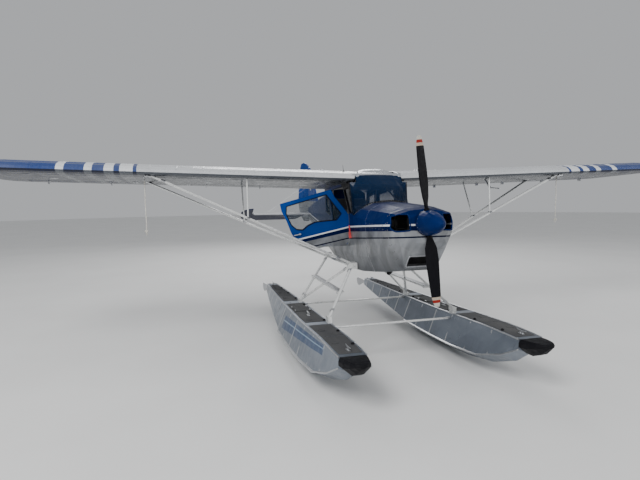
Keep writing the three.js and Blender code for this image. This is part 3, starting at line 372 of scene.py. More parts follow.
def float_metal():
    """Silver float skins tinted blue as a painted sky reflection, streaked and dull near the chine, with a blue panel
    along the outer side.
    """
    paint = Paint("float_skin", rough=0.36, metal=0.75, coat=0.15)
    aft, up = aft_up(paint)
    # The skin's blue tint is a painted reflection of the sky
    broad = paint.patches(1.6, 6, 0.3, 0.7, stretch=(0.5, 1, 1.2))
    tone = paint.mix(broad, (0.27, 0.305, 0.36), (0.145, 0.17, 0.21))
    streaks = paint.patches(16, 5, 0.55, 0.8, 0, 0.45, stretch=(2.2, 2.2, 0.12))
    low = paint.map(up, -1.85, -1.5, 0.75, 0.1)
    tone = paint.mix(paint.times(streaks, low), tone, (0.09, 0.095, 0.1))
    tone = paint.mix(paint.patches(55, 3, 0.62, 0.75, 0, 0.3), tone, (0.16, 0.16, 0.155))
    top = paint.map(aft, 0.0, 2.2, -1.365, -1.52)
    high = paint.map(aft, 0.05, 2.2, 0.115, 0.185)
    outer = paint.above(paint.math("ABSOLUTE", paint.y), FLOAT_OUT + 0.12)
    below = paint.math("DIVIDE", paint.minus(top, up), high)
    panel = paint.both(outer, paint.within(aft, 0.05, 2.2), paint.within(below, 0.0, 1.0, 0.01))
    tone = paint.mix(panel, tone, (0.001, 0.035, 0.11))
    tone = paint.mix(paint.both(panel, paint.within(below, 0.34, 0.43, 0.01)), tone, (0.2, 0.3, 0.42))
    paint.put("Base Color", tone)
    paint.put("Metallic", paint.map(panel, 0, 1, 0.75, 0.1))
    paint.put("Roughness", paint.patches(12, 5, 0.3, 0.75, 0.26, 0.5, stretch=(1, 1, 0.4)))
    seam_gap = 0.6
    seams = paint.math("PINGPONG", aft, seam_gap / 2)
    lap = paint.map(seams, 0.0, 0.004, 1, 0)
    paint.bump((paint.map(seams, 0.0, seam_gap / 2, 1, 0), 0.004, 0.35), (lap, 0.001, 0.6),
               (paint.noise(4, 3), 0.004, 0.5))
    return paint.material


def blade_paint():
    """Black blades with a pale, a red and a white band at the tip, and a worn leading edge."""
    paint = Paint("blade_paint", rough=0.5, Specular_IOR_Level=0.12)
    up = paint.minus(paint.z, HUB_HEIGHT)
    radius = paint.math("SQRT", paint.plus(paint.math("POWER", paint.y, 2.0), paint.math("POWER", up, 2.0)))
    bands = ((0, BLACK), (0.895, (0.42, 0.35, 0.28)), (0.93, (0.26, 0.018, 0.012)),
             (0.965, (0.48, 0.47, 0.42)))
    colour = paint.ramp(radius, bands, constant=True)
    worn = paint.patches(60, 5, 0.62, 0.72, 0, 0.55, stretch=(1, 1, 0.5))
    paint.put("Base Color", paint.mix(worn, colour, (0.016, 0.016, 0.018)))
    paint.put("Roughness", paint.patches(30, 4, 0.3, 0.7, 0.45, 0.65))
    paint.bump((paint.noise(90, 3), 0.0004, 0.5))
    return paint.material


def glass(name, tint, clear, darker=None, gloss=0.5, rough=0.02):
    """Tinted glass that lets less light through as it rises between two levels above the thrust line."""
    paint = Paint(name, colour=tint, Specular_IOR_Level=gloss)
    smear = paint.patches(5, 5, 0.4, 0.8, 0, 0.06, stretch=(1, 1, 0.5))
    if darker:
        low, high, deep = darker
        clear = paint.map(aft_up(paint)[1], low, high, clear, deep)
    paint.put("Alpha", paint.math("ADD", clear, smear, clamp=True))
    paint.put("Roughness", paint.patches(8, 4, 0.4, 0.8, rough, rough + 0.07))
    return paint.material


def cloth(name, colour, scale):
    """Woven cloth, darker between its threads."""
    paint = Paint(name, rough=0.9, Sheen_Weight=0.25)
    warp = paint.noise(scale, 2, (1, 0.16, 1))
    weft = paint.noise(scale, 2, (0.16, 1, 0.16))
    weave = paint.math("MAXIMUM", warp, weft)
    tone = paint.mix(paint.map(weave, 0.4, 0.7), shade(0.55, colour), colour)
    paint.put("Base Color", paint.mix(paint.patches(6, 4, 0.4, 0.8, 0, 0.3), tone, shade(0.6, colour)))
    paint.bump((weave, 0.0008, 0.7), (paint.noise(9, 3), 0.003, 0.3))
    return paint.material


def rubber(name, rough):
    paint = Paint(name, rough=rough, Specular_IOR_Level=0.15)
    dust = paint.patches(7, 6, 0.45, 0.8, 0, 0.4)
    paint.put("Base Color", paint.mix(dust, BLACK, (0.014, 0.014, 0.016)))
    paint.put("Roughness", paint.patches(24, 4, 0.3, 0.8, rough - 0.12, rough + 0.15))
    paint.bump((paint.noise(45, 4), 0.0012, 0.5), (paint.noise(380, 2), 0.0003, 0.5))
    return paint.material


def lens(name, colour):
    paint = Paint(name, rough=0.08, coat=1.0)
    ribs = paint.noise(420, 1, (1, 1, 0.2))
    paint.put("Base Color", paint.mix(paint.map(ribs, 0.4, 0.7), colour, shade(0.6, colour)))
    paint.bump((ribs, 0.0006, 0.5))
    return paint.material


def non_skid():
    paint = Paint("non_skid", rough=0.85)
    grit = paint.noise(330, 3)
    worn = paint.patches(2.4, 6, 0.35, 0.8, stretch=(0.6, 1.4, 1))
    tone = paint.mix(worn, (0.035, 0.036, 0.04), (0.085, 0.085, 0.085))
    paint.put("Base Color", paint.mix(paint.map(grit, 0.5, 0.7, 0, 0.5), tone, (0.018, 0.018, 0.02)))
    paint.bump((grit, 0.0012, 0.8))
    return paint.material


def rope_fibre():
    paint = Paint("rope_fibre", colour=(0.72, 0.7, 0.64), rough=0.9)
    fibre = paint.noise(260, 3, (1, 1, 0.15))
    tone = paint.mix(paint.map(fibre, 0.4, 0.7), (0.5, 0.48, 0.43), (0.8, 0.78, 0.72))
    paint.put("Base Color", paint.mix(paint.patches(9, 4, 0.5, 0.8, 0, 0.4), tone, (0.36, 0.34, 0.3)))
    paint.bump((fibre, 0.001, 0.7))
    return paint.material


M = {
    "side": painted_side("fuselage_paint", *BODY_LINES, cloth_from=3.1),
    "door": painted_side("door_paint", *DOOR_LINES, place=DOOR_PLACE),
    "wing": wing_paint(),
    "blue": plain_paint("blue_paint", BLUE, 0.3, 0.05, 0.0, 0.03, (0.002, 0.05, 0.26), 1.2),
    # A darker copy of the blue paint, as painted shade, for the spinner and the inlet lips
    "shaded_blue": plain_paint("shaded_blue_paint", SHADED_BLUE, 0.34, 0.05, 0.0, 0.02, (0.001, 0.016, 0.10), 1.15),
    "navy": plain_paint("navy_paint", (0.001, 0.005, 0.035), 0.35, 0.05, 0.0, 0.03, None, 1.15),
    "fin": fin_paint(),
    "silver": plain_paint("silver_paint", SILVER, 0.34, 0.55, 0.3, 0.2),
    "roof": plain_paint("roof_silver", (0.55, 0.57, 0.6), 0.24, 0.7, 0.3, 0.15),
    "white": plain_paint("white_paint", (0.74, 0.74, 0.73), 0.32, 0.0, 0.4),
    "red": plain_paint("red_tag", (0.5, 0.02, 0.02), 0.6, 0.0, 0.0),
    "strut": plain_paint("strut_paint", (0.80, 0.81, 0.80), 0.3, 0.15, 0.4, 0.08),
    "metal": bare_metal("bare_metal", (0.62, 0.63, 0.65), 0.34),
    "dark_metal": bare_metal("dark_metal", (0.2, 0.2, 0.21), 0.45),
    "float": float_metal(),
    "blade": blade_paint(),
    "black": plain_paint("black_paint", BLACK, 0.5, 0.0, 0.0, 0.02, None, 1.15),
    "iron": plain_paint("engine_iron", (0.09, 0.09, 0.095), 0.6, 0.4, 0.0, 0.3),
    "rubber": rubber("bumper_rubber", 0.6),
    "seal": rubber("seal_rubber", 0.5),
    "glass": glass("clear_glass", (0.03, 0.05, 0.07), 0.2),
    # Nearly opaque black glass for the quarter windows: painted shade of the dark cabin behind them
    "painted_shade_glass": glass("painted_shade_glass", (0.002, 0.003, 0.006), 0.9, None, 0.2),
    "shield": glass("windshield_glass", (0.003, 0.015, 0.045), 0.38, (0.30, 0.50, 0.94), 0.1, 0.14),
    "seat": cloth("seat_cloth", (0.13, 0.14, 0.17), 260),
    "seat_edge": cloth("seat_edge", (0.05, 0.05, 0.06), 300),
    "carpet": cloth("carpet", (0.07, 0.07, 0.08), 420),
    "lining": cloth("lining", (0.32, 0.32, 0.33), 380),
    "rope": rope_fibre(),
    "tail": plain_paint("tail_paint", (0.5, 0.51, 0.53), 0.34, 0.2, 0.3, 0.15),
    "lens_red": lens("lens_red", (0.5, 0.01, 0.01)),
    "lens_green": lens("lens_green", (0.01, 0.35, 0.06)),
    "lens_white": lens("lens_white", (0.8, 0.8, 0.78)),
    "non_skid": non_skid(),
}


def nodes(names):
    """CAD nodes from their names in one string, where a star stands for left and right."""
    return [NODES[stem.replace("*", name)] for stem in names.split()
            for name, _ in (SIDES if "*" in stem else SIDES[:1])]


# Material of each CAD node
CARRIED = {
    "side": "nose_bowl cowl_upper cowl_lower belly boot_deck cabin_side_* rear_fuselage",
    "door": "door_frame",
    "fin": "rudder fin",
    "shaded_blue": "spinner",
    "navy": "elevator_*",
    "tail": "stabilizer_*",
    "wing": "wing_* flap_* aileron_*",
    "roof": "cabin_roof",
    "metal": "firewall pitot water_rudder_* water_rudder_yoke_*",
    "iron": "engine_block",
    "blade": "propeller",
    "shield": "windshield",
    "glass": "skylight door_window main_window_left rear_window_*",
    "painted_shade_glass": "quarter_window_*",
    "black": "instrument_panel control_stick",
    "seat": "front_seat rear_seat",
    "float": "float_*",
    "rubber": "bumper_*",
    "strut": "lift_strut_front_* lift_strut_rear_* float_struts_* spreader_front spreader_rear",
    "rope": "wing_rope_*",
}
for key, names in CARRIED.items():
    for node in nodes(names):
        node.data.materials.clear()
        node.data.materials.append(M[key])

# The slot of a piece, where it is the usual one of its material
SLOTS = {
    "metal": "bare_aluminium", "dark_metal": "bare_aluminium", "roof": "bare_aluminium", "wing": "wing_cloth",
    "tail": "wing_cloth", "seal": "bumper_rubber", "rope": "rope_fibre", "black": "black_paint",
    "non_skid": "black_paint", "iron": "engine_iron", "fin": "blue_paint", "navy": "blue_paint",
    "shaded_blue": "blue_paint", "silver": "silver_paint", "side": "bare_aluminium", "lining": "seat_fabric",
    "carpet": "seat_fabric", "red": "seat_fabric", "seat_edge": "seat_fabric", "lens_red": "clear_glass",
    "lens_green": "clear_glass",
}


def turns(count, shift=0.0):
    """Angles evenly round a circle."""
    return [2 * math.pi * (k + shift) / count for k in range(count)]


def circle(middle, radius, first, second, sides):
    return [middle + radius * (math.cos(a) * first + math.sin(a) * second) for a in turns(sides)]


# Pieces, built by hand as meshes that are already in place
class Piece:
    def __init__(self, name, material, body="airframe", slot=None):
        self.name, self.materials, self.body, self.slot = name, [M[material]], body, slot or SLOTS[material]
        self.mesh = bmesh.new()
        self.index = 0

    def using(self, material):
        if M[material] not in self.materials:
            self.materials.append(M[material])
        self.index = self.materials.index(M[material])
        return self

    def loft(self, rings, caps=True):
        """A skin through rings of points, closed at both ends unless caps is false."""
        rows = [[self.mesh.verts.new(point) for point in ring] for ring in rings]
        count = len(rows[0])
        faces = []
        for near, far in zip(rows, rows[1:]):
            for i in range(count):
                j = (i + 1) % count
                faces.append(self.mesh.faces.new((near[i], near[j], far[j], far[i])))
        if caps:
            faces.append(self.mesh.faces.new(rows[0][::-1]))
            faces.append(self.mesh.faces.new(rows[-1]))
        for face in faces:
            face.material_index = self.index
        return self

    def loop(self, rings, closed):
        """A loft that runs on into its own start where it is closed."""
        self.loft(rings + rings[:1] if closed else rings, caps=not closed)
        if closed:
            bmesh.ops.remove_doubles(self.mesh, verts=self.mesh.verts, dist=1e-6)
        return self

    def tube(self, points, radius, sides=12, closed=False):
        """A round tube along points; radius may be a list."""
        points = [Vector(p) for p in points]
        count = len(points)
        radii = radius if isinstance(radius, (list, tuple)) else [radius] * count
        normal = None
        rings = []
        for i, point in enumerate(points):
            before = points[i - 1] if i or closed else point
            after = points[(i + 1) % count] if i + 1 < count or closed else point
            along = (after - before).normalized()
            if normal is None:
                normal = along.orthogonal().normalized()
            normal = (normal - along * normal.dot(along)).normalized()
            rings.append(circle(point, radii[i], normal, along.cross(normal), sides))
        return self.loop(rings, closed)

    def turned(self, profile, place, axis=(0, 0, 1), sides=32):
        """A turned form: pairs of distance along the axis and radius, from one end to the other."""
        along = Vector(axis).normalized()
        normal = along.orthogonal().normalized()
        side = along.cross(normal)
        return self.loft([circle(Vector(place) + along * height, max(radius, 1e-4), normal, side, sides)
                          for height, radius in profile])

    def block(self, middle, size, turn=None, bevel=0.002, segments=2):
        """A box with rounded edges; turn is its rotation as a matrix."""
        matrix = Matrix.Translation(middle) @ (turn or Matrix()).to_4x4() @ Matrix.Diagonal((*size, 1))
        made = bmesh.ops.create_cube(self.mesh, size=1, matrix=matrix)
        edges = dict.fromkeys(edge for vert in made["verts"] for edge in vert.link_edges)
        faces = {face for vert in made["verts"] for face in vert.link_faces}
        if bevel:
            made = bmesh.ops.bevel(self.mesh, geom=list(edges), offset=bevel, segments=segments, profile=0.7,
                                   affect="EDGES")
            faces |= set(made["faces"])
        for face in faces:
            if face.is_valid:
                face.material_index = self.index
        return self

    def ribbon(self, spots, width, height, closed=False, offset=0.0):
        """A raised strip along spots, each a point and the normal of what it lies on."""
        count = len(spots)
        rings = []
        for i, (point, normal) in enumerate(spots):
            before = spots[i - 1][0] if i or closed else point
            after = spots[(i + 1) % count][0] if i + 1 < count or closed else point
            side = (after - before).cross(normal).normalized()
            base = point + side * offset
            rings.append([base - side * width / 2, base - side * width * 0.42 + normal * height,
                          base + side * width * 0.42 + normal * height, base + side * width / 2,
                          base - normal * 0.001])
        return self.loop(rings, closed)

    def studs(self, spots, radius, height, sides=8):
        """Rivet or screw heads, each at a point with a normal."""
        for point, normal in spots:
            across = normal.orthogonal().normalized()
            side = normal.cross(across)
            self.loft([circle(point + normal * height * lift, radius * part, across, side, sides)
                       for part, lift in ((1.0, -0.2), (0.95, 0.5), (0.6, 1.0))])
        return self

    def plate(self, outline, lift, place):
        """A flat plate: outline as pairs in the plane of place, made thick by lift along its third axis."""
        return self.loft([[place @ Vector((a, b, h)) for a, b in outline] for h in (0.0, lift)])

    def moved(self, matrix):
        bmesh.ops.transform(self.mesh, matrix=matrix, verts=self.mesh.verts)
        return self

    def done(self, smooth, across=None):
        """Make the object, with edges over smooth degrees left sharp. With across, it is baked in place and follows no
        body; what across names is not used."""
        bmesh.ops.recalc_face_normals(self.mesh, faces=self.mesh.faces)
        data = bpy.data.meshes.new(self.name)
        self.mesh.to_mesh(data)
        self.mesh.free()
        for material in self.materials:
            data.materials.append(material)
        piece = bpy.data.objects.new(self.name, data)
        bpy.context.scene.collection.objects.link(piece)
        data.shade_smooth()
        data.set_sharp_from_angle(angle=math.radians(smooth))
        if across:
            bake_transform(piece)
        else:
            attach(piece, self.body)
        return piece


class Surface:
    """The skins of CAD nodes, to find where a line meets them."""
    def __init__(self, names):
        points, faces = [], []
        for node in nodes(names):
            first = len(points)
            points += [vert.co.copy() for vert in node.data.vertices]
            faces += [[first + i for i in face.vertices] for face in node.data.polygons]
        self.tree = BVHTree.FromPolygons(points, faces)

    def hit(self, start, toward):
        point, normal, _, _ = self.tree.ray_cast(Vector(start), Vector(toward).normalized())
        if point is None:
            return None
        return point, (normal if normal.dot(Vector(toward)) < 0 else -normal)

    def spots(self, starts, toward):
        return [spot for spot in (self.hit(start, toward) for start in starts) if spot]


def smooth_path(points, steps, closed=False):
    """Points on a smooth curve through the given ones."""
    points = [Vector(p) for p in points]
    count = len(points)
    spans = count if closed else count - 1
    route = []
    for i in range(spans):
        before = points[i - 1] if i or closed else points[0]
        here, there = points[i], points[(i + 1) % count]
        after = points[(i + 2) % count] if closed or i + 2 < count else there
        for k in range(steps):
            t = k / steps
            route.append(0.5 * (2 * here + (there - before) * t + (2 * before - 5 * here + 4 * there - after) * t * t
                                + (3 * here - before - 3 * there + after) * t ** 3))
    return route if closed else route + [points[-1]]


def along_outline(outline, spacing):
    """Even points round a closed outline of pairs, with its corners kept."""
    route = []
    for (a, b), (c, d) in zip(outline, outline[1:] + outline[:1]):
        count = max(1, round(math.hypot(c - a, d - b) / spacing))
        route += [(a + (c - a) * i / count, b + (d - b) * i / count) for i in range(count)]
    return route


def rounded(outline, radius, steps=4):
    """The outline with its corners rounded."""
    route = []
    count = len(outline)
    for i, corner in enumerate(outline):
        corner = Vector(corner)
        before, after = Vector(outline[i - 1]), Vector(outline[(i + 1) % count])
        reach = min(radius, 0.45 * (before - corner).length, 0.45 * (after - corner).length)
        start = corner + (before - corner).normalized() * reach
        end = corner + (after - corner).normalized() * reach
        for k in range(steps + 1):
            t = k / steps
            route.append(tuple(start * (1 - t) ** 2 + corner * 2 * t * (1 - t) + end * t * t))
    return route


# Handling ropes: the same route as in the CAD, twisted from three strands
ROPE_RADIUS, ROPE_LAY = 0.007, 0.62
ROPE = [[1.800, 3.275, 0.612], [1.800, 3.275, 0.560], [1.801, 3.276, 0.440], [1.799, 3.278, 0.300],
        [1.802, 3.276, 0.150], [1.800, 3.273, 0.010], [1.801, 3.275, -0.130]]


def make_knot(name, end):
    """An overhand knot with the strands frayed below it."""
    knot = Piece(f"rope_knot_{name}", "rope")
    loops = [end + Vector((0, 0, 0.012)) + 0.0072 * Vector((
        math.sin(t) + 2 * math.sin(2 * t), math.cos(t) - 2 * math.cos(2 * t), -1.5 * math.sin(3 * t)))
        for t in turns(60)]
    knot.tube(loops, 0.0062, 8, closed=True)
    for k in range(6):
        knot.tube([end + Vector((spread * math.cos(k), spread * math.sin(k), -drop)) for spread, drop in (
            (0.003, 0), (0.006, 0.022), (0.009, 0.04))], [0.0024, 0.002, 0.0008], 6)
    return knot.done(60)


def make_tie_down(name, top):
    """A plate with a ring under the wing, which the rope hangs from."""
    eye = Piece(f"tie_down_{name}", "metal")
    eye.turned(((0.004, 0.02), (-0.003, 0.02), (-0.006, 0.014), (-0.02, 0.007)), top + Vector((0.03, 0, 0)), UP, 16)
    ring = [top + Vector((0.03 + 0.016 * math.cos(t), 0, -0.036 + 0.016 * math.sin(t))) for t in turns(24)]
    eye.tube(ring, 0.004, 8, closed=True)
    eye.done(50)


def make_rope(name, side):
    route = smooth_path([at(aft, side * out, up) for aft, out, up in ROPE], 26)
    piece = Piece(f"rope_{name}", "rope")
    piece.loft([[point + Vector((math.cos(a), math.sin(a), 0)) * ROPE_RADIUS * (
        0.84 + 0.16 * math.cos(3 * (a - ROPE_LAY * i))) for a in turns(18)] for i, point in enumerate(route)])
    rope = piece.done(60)
    knotted = make_knot(name, route[-1])
    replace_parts(rope, f"wing_rope_{name}")
    make_tie_down(name, route[0])


for name, side in SIDES:
    make_rope(name, side)


# CAD nodes keep their meshes; modifiers round their edges and shade them smoothly
def smooth_group(angle):
    """Geometry nodes that shade smoothly wherever the faces meet at less than angle."""
    tree = bpy.data.node_groups.new("shade_smooth", "GeometryNodeTree")
    for way in ("INPUT", "OUTPUT"):
        tree.interface.new_socket("Geometry", in_out=way, socket_type="NodeSocketGeometry")
    start, end = tree.nodes.new("NodeGroupInput"), tree.nodes.new("NodeGroupOutput")
    faces, edges = (tree.nodes.new("GeometryNodeSetShadeSmooth") for _ in range(2))
    faces.domain, edges.domain = "FACE", "EDGE"
    bend = tree.nodes.new("GeometryNodeInputMeshEdgeAngle")
    over = tree.nodes.new("ShaderNodeMath")
    over.operation = "GREATER_THAN"
    over.inputs[1].default_value = angle
    edges.inputs["Shade Smooth"].default_value = False
    for source, target in ((start.outputs[0], faces.inputs["Geometry"]), (faces.outputs[0], edges.inputs["Geometry"]),
                           (bend.outputs["Unsigned Angle"], over.inputs[0]),
                           (over.outputs[0], edges.inputs["Selection"]), (edges.outputs[0], end.inputs[0])):
        tree.links.new(source, target)
    return tree


SHARP = math.radians(33)
SMOOTH = smooth_group(SHARP)


def soften(names, width, segments=2):
    """Join the flat faces of CAD nodes, round their sharp edges by width, and shade the rest smoothly."""
    for piece in nodes(names):
        flat = piece.modifiers.new("join", "DECIMATE")
        flat.decimate_type, flat.angle_limit = "DISSOLVE", math.radians(0.6)
        if width:
            bevel = piece.modifiers.new("edges", "BEVEL")
            bevel.width, bevel.segments, bevel.limit_method = width, segments, "ANGLE"
            bevel.angle_limit, bevel.use_clamp_overlap = SHARP, True
        shade = piece.modifiers.new("shade", "NODES")
        shade.node_group = SMOOTH


soften("nose_bowl cowl_upper cowl_lower belly boot_deck cabin_roof rear_fuselage fin rudder instrument_panel "
       "control_stick door_frame spreader_front spreader_rear pitot cabin_side_* wing_* flap_* aileron_* "
       "stabilizer_* elevator_* float_* lift_strut_front_* lift_strut_rear_* float_struts_* water_rudder_* "
       "water_rudder_yoke_*", 0.002)
soften("bumper_*", 0.012, segments=3)
soften("spinner propeller", 0)


# Radius of cables and brace wires
CABLE = 0.0018
# Floats, by station: aft, half width and height of the deck, half width and height of the chine, height of the keel
FLOAT_ROWS = ((-0.450, 0.160, -1.350, 0.166, -1.470, -1.525), (-0.200, 0.172, -1.345, 0.215, -1.600, -1.700),
              (0.250, 0.178, -1.345, 0.272, -1.735, -1.860), (0.850, 0.184, -1.368, 0.312, -1.775, -1.950),
              (1.450, 0.186, -1.395, 0.325, -1.785, -1.980), (2.350, 0.180, -1.420, 0.325, -1.785, -1.980),
              (2.351, 0.180, -1.420, 0.318, -1.768, -1.912), (3.400, 0.158, -1.450, 0.250, -1.712, -1.835),
              (4.300, 0.128, -1.475, 0.175, -1.665, -1.770), (4.950, 0.100, -1.492, 0.118, -1.628, -1.715))
FLOAT_STEP = 2.350
FLOAT_BOW, FLOAT_STERN = FLOAT_ROWS[0][0], FLOAT_ROWS[-1][0]
FLOAT_CORNERS = [row[0] for row in FLOAT_ROWS]


def float_row(aft):
    """A float's measures between its stations."""
    for near, far in zip(FLOAT_ROWS, FLOAT_ROWS[1:]):
        if near[0] <= aft <= far[0]:
            part = (aft - near[0]) / (far[0] - near[0])
            return [a + (b - a) * part for a, b in zip(near, far)][1:]


def deck_spot(aft, middle, out, lift=0.0):
    """A spot over a float's deck, out across from the float's middle."""
    return at(aft, middle + out, float_row(aft)[1] + lift)


def stations(start, end, spacing, corners=()):
    """Even places from start to end, with the corners between them."""
    count = max(2, round((end - start) / spacing) + 1)
    return sorted({start + (end - start) * i / (count - 1) for i in range(count)}
                  | {c for c in corners if start < c < end})


def side_spots(middle, way, aft, low, high, count):
    """Points down a float's side, as parts of the way from its deck to its chine, with their normal."""
    deck, deck_up, chine, chine_up, _ = float_row(aft)
    normal = Vector((0, way * (deck_up - chine_up), chine - deck)).normalized()
    return [(at(aft, middle + way * (deck + (chine - deck) * t), deck_up - 0.012 + (chine_up - deck_up + 0.012) * t),
             normal) for t in (low + (high - low) * i / (count - 1) for i in range(count))]


def cleat(piece, place):
    """A deck cleat: its foot, two posts and the horn between them."""
    piece.block(place + Vector((0, 0, 0.005)), (0.085, 0.034, 0.01), bevel=0.003)
    for x in (-0.022, 0.022):
        piece.turned(((0.008, 0.009), (0.02, 0.007), (0.036, 0.008)), place + Vector((x, 0, 0)), sides=12)
    horn = smooth_path([place + Vector((x, 0, z)) for x, z in (
        (-0.085, 0.05), (-0.045, 0.041), (0, 0.039), (0.045, 0.041), (0.085, 0.05))], 4)
    radii = [0.0045 + 0.0045 * math.sin(math.pi * i / (len(horn) - 1)) ** 0.6 for i in range(len(horn))]
    piece.tube(horn, radii, 12)


# Rivet head: radius, height and sides. Deck pads: from and to. Side seams: first, last and spacing
RIVET = (0.003, 0.0014, 6)
PADS = ((-0.37, 0.30), (0.32, 0.955), (1.14, 1.78), (1.80, 2.60), (2.83, 3.40), (3.42, 4.05), (4.07, 4.70))
SEAMS = (0.05, 4.75, 0.47)


def make_deck_pads(name, side):
    pads = Piece(f"deck_pads_{name}", "non_skid")
    for start, end in PADS:
        pads.loft([[deck_spot(aft, side * FLOAT_OUT, y * (float_row(aft)[0] - 0.032), z) for y, z in (
            (-1, -0.001), (-0.985, 0.003), (0, 0.0034), (0.985, 0.003), (1, -0.001))]
            for aft in stations(start, end, 0.12, FLOAT_CORNERS)])
    pads.done(50)


def make_float_trim(name, side):
    """A bead along the deck's edges, a spray rail along the chine as far as the step, and straps over the seams."""
    trim = Piece(f"float_trim_{name}", "metal")
    middle = side * FLOAT_OUT
    edge = stations(FLOAT_BOW, FLOAT_STERN, 0.25, FLOAT_CORNERS)
    for way in (-1, 1):
        trim.tube([deck_spot(aft, middle, way * (float_row(aft)[0] - 0.004), -0.003) for aft in edge], 0.0075, 8)
        rail = []
        for aft in edge:
            if aft <= FLOAT_STEP:
                chine, chine_up = float_row(aft)[2:4]
                rail.append([at(aft, middle + way * (chine + out), chine_up + z) for out, z in (
                    (-0.004, 0.012), (0.016, 0.004), (0.018, -0.01), (0.013, -0.011), (-0.004, -0.002))])
        trim.loft(rail)
        for aft in stations(*SEAMS):
            trim.ribbon(side_spots(middle, way, aft, 0.03, 0.97, 5), 0.03, 0.0012)
    trim.done(40)


def make_float_rivets(name, side):
    rivets = Piece(f"float_rivets_{name}", "metal")
    middle = side * FLOAT_OUT
    for way in (-1, 1):
        for aft in stations(*SEAMS):
            for shift in (-0.007, 0.007):
                rivets.studs([(p + Vector((shift, 0, 0)), n) for p, n in side_spots(middle, way, aft, 0.06, 0.93, 12)],
                             0.0032, 0.0022, 6)
        for part in (0.08, 0.92):
            rivets.studs([side_spots(middle, way, aft, part, part + 0.01, 2)[0]
                          for aft in stations(FLOAT_BOW + 0.05, FLOAT_STERN - 0.05, 0.055)], *RIVET)
        rivets.studs([(deck_spot(aft, middle, way * (float_row(aft)[0] - 0.022)), Vector((0, 0, 1)))
                      for aft in stations(FLOAT_BOW + 0.05, FLOAT_STERN - 0.05, 0.06)], *RIVET)
    rivets.done(60)


def make_deck_fittings(name, side):
    """Cleats, pump caps, a hatch with its hinges and latches, and rubber plugs."""
    gear = Piece(f"deck_fittings_{name}", "metal")
    middle = side * FLOAT_OUT
    for aft in (-0.28, 1.60, 4.78):
        cleat(gear, deck_spot(aft, middle, 0, 0.002))
    gear.using("non_skid")
    for aft in (0.02, 0.62, 1.30, 2.48, 3.12, 3.72, 4.30):
        gear.turned(((0, 0.046), (0.006, 0.045), (0.008, 0.04), (0.006, 0.034), (0.007, 0.015), (0.006, 0.001)),
                    deck_spot(aft, middle, side * 0.06, 0.002), sides=36)
    lid = rounded([(-0.21, -0.115), (0.21, -0.115), (0.21, 0.115), (-0.21, 0.115)], 0.03)
    hatch = Matrix.Translation(at(2.10, middle, float_row(2.05)[1] + 0.002)) @ Matrix.Rotation(-0.028, 4, "Y")
    for size, lift in ((1.0, 0.009), (0.9, 0.0135)):
        gear.plate([(a * size, b * size) for a, b in lid], lift, hatch)
    gear.using("metal")
    for x in (-0.13, 0.13):
        gear.tube([hatch @ Vector((x + shift, -0.115, 0.011)) for shift in (-0.03, 0.03)], 0.006, 10)
        gear.block(hatch @ Vector((x, 0.112, 0.014)), (0.035, 0.022, 0.008))
    gear.using("rubber")
    for aft in (-0.08, 0.52, 1.20, 2.42, 3.02, 3.62, 4.22):
        gear.turned(((0, 0.02), (0.008, 0.021), (0.018, 0.016), (0.023, 0.007), (0.024, 0.001)),
                    deck_spot(aft, middle, -side * (float_row(aft)[0] - 0.055), 0.002), sides=16)
    gear.done(40)


def make_rudder_cables(name, side):
    cables = Piece(f"rudder_cables_{name}", "dark_metal")
    for way in (-1, 1):
        spot = lambda aft, lift: deck_spot(aft, side * FLOAT_OUT, way * (float_row(aft)[0] - 0.05), lift)
        cables.tube([spot(aft, 0.012) for aft in stations(3.0, 4.93, 0.2)], CABLE, 6)
        for aft in (3.0, 3.6, 4.2, 4.9):
            cables.block(spot(aft, 0.008), (0.02, 0.012, 0.014))
    cables.done(40)


for name, side in SIDES:
    for make in (make_deck_pads, make_float_trim, make_float_rivets, make_deck_fittings, make_rudder_cables):
        make(name, side)


# Strut fittings, cuffs, bolts and the boarding step's tread
def cuff(piece, foot, top, part, chord, thickness, length=0.05):
    """A sleeve round a streamlined strut, at a part of the way from foot to top."""
    along = (top - foot).normalized()
    ahead = (Vector((1, 0, 0)) - along * along.x).normalized()
    across = along.cross(ahead)
    middle = foot + (top - foot) * part
    piece.loft([[middle + along * shift * length + ahead * math.cos(a) * chord * 0.54 * grow
                 + across * math.sin(a) * thickness * (0.62 - 0.1 * math.cos(a)) * grow for a in turns(20)]
                for shift, grow in ((-0.5, 0.9), (-0.48, 1.0), (0.48, 1.0), (0.5, 0.9))])


def bolt(piece, place, axis, length, radius=0.006):
    """The head and the nut of a bolt through something length thick."""
    axis = Vector(axis).normalized()
    for way in (-1, 1):
        piece.turned(((length / 2 - 0.002, radius * 1.7), (length / 2 + 0.004, radius * 1.7),
                      (length / 2 + 0.005, radius), (length / 2 + 0.01, radius * 0.9)), place, axis * way, 6)


# Struts: foot, top, chord and thickness; the jury struts meet the lift struts at JURY_OUT
LIFT_STRUTS = (((1.592, 0.420, -0.668), (1.704, 3.225, 0.650), 0.092, 0.034),
               ((1.655, 0.420, -0.706), (2.657, 3.473, 0.650), 0.082, 0.030))
FLOAT_STRUTS = (((1.047, 0.923, -1.300), (1.610, 0.420, -0.700), 0.078, 0.034),
                ((2.716, 0.960, -1.396), (1.650, 0.420, -0.700), 0.060, 0.028),
                ((2.716, 0.960, -1.396), (3.000, 0.390, -0.690), 0.078, 0.034))
JURY_OUT = 1.915


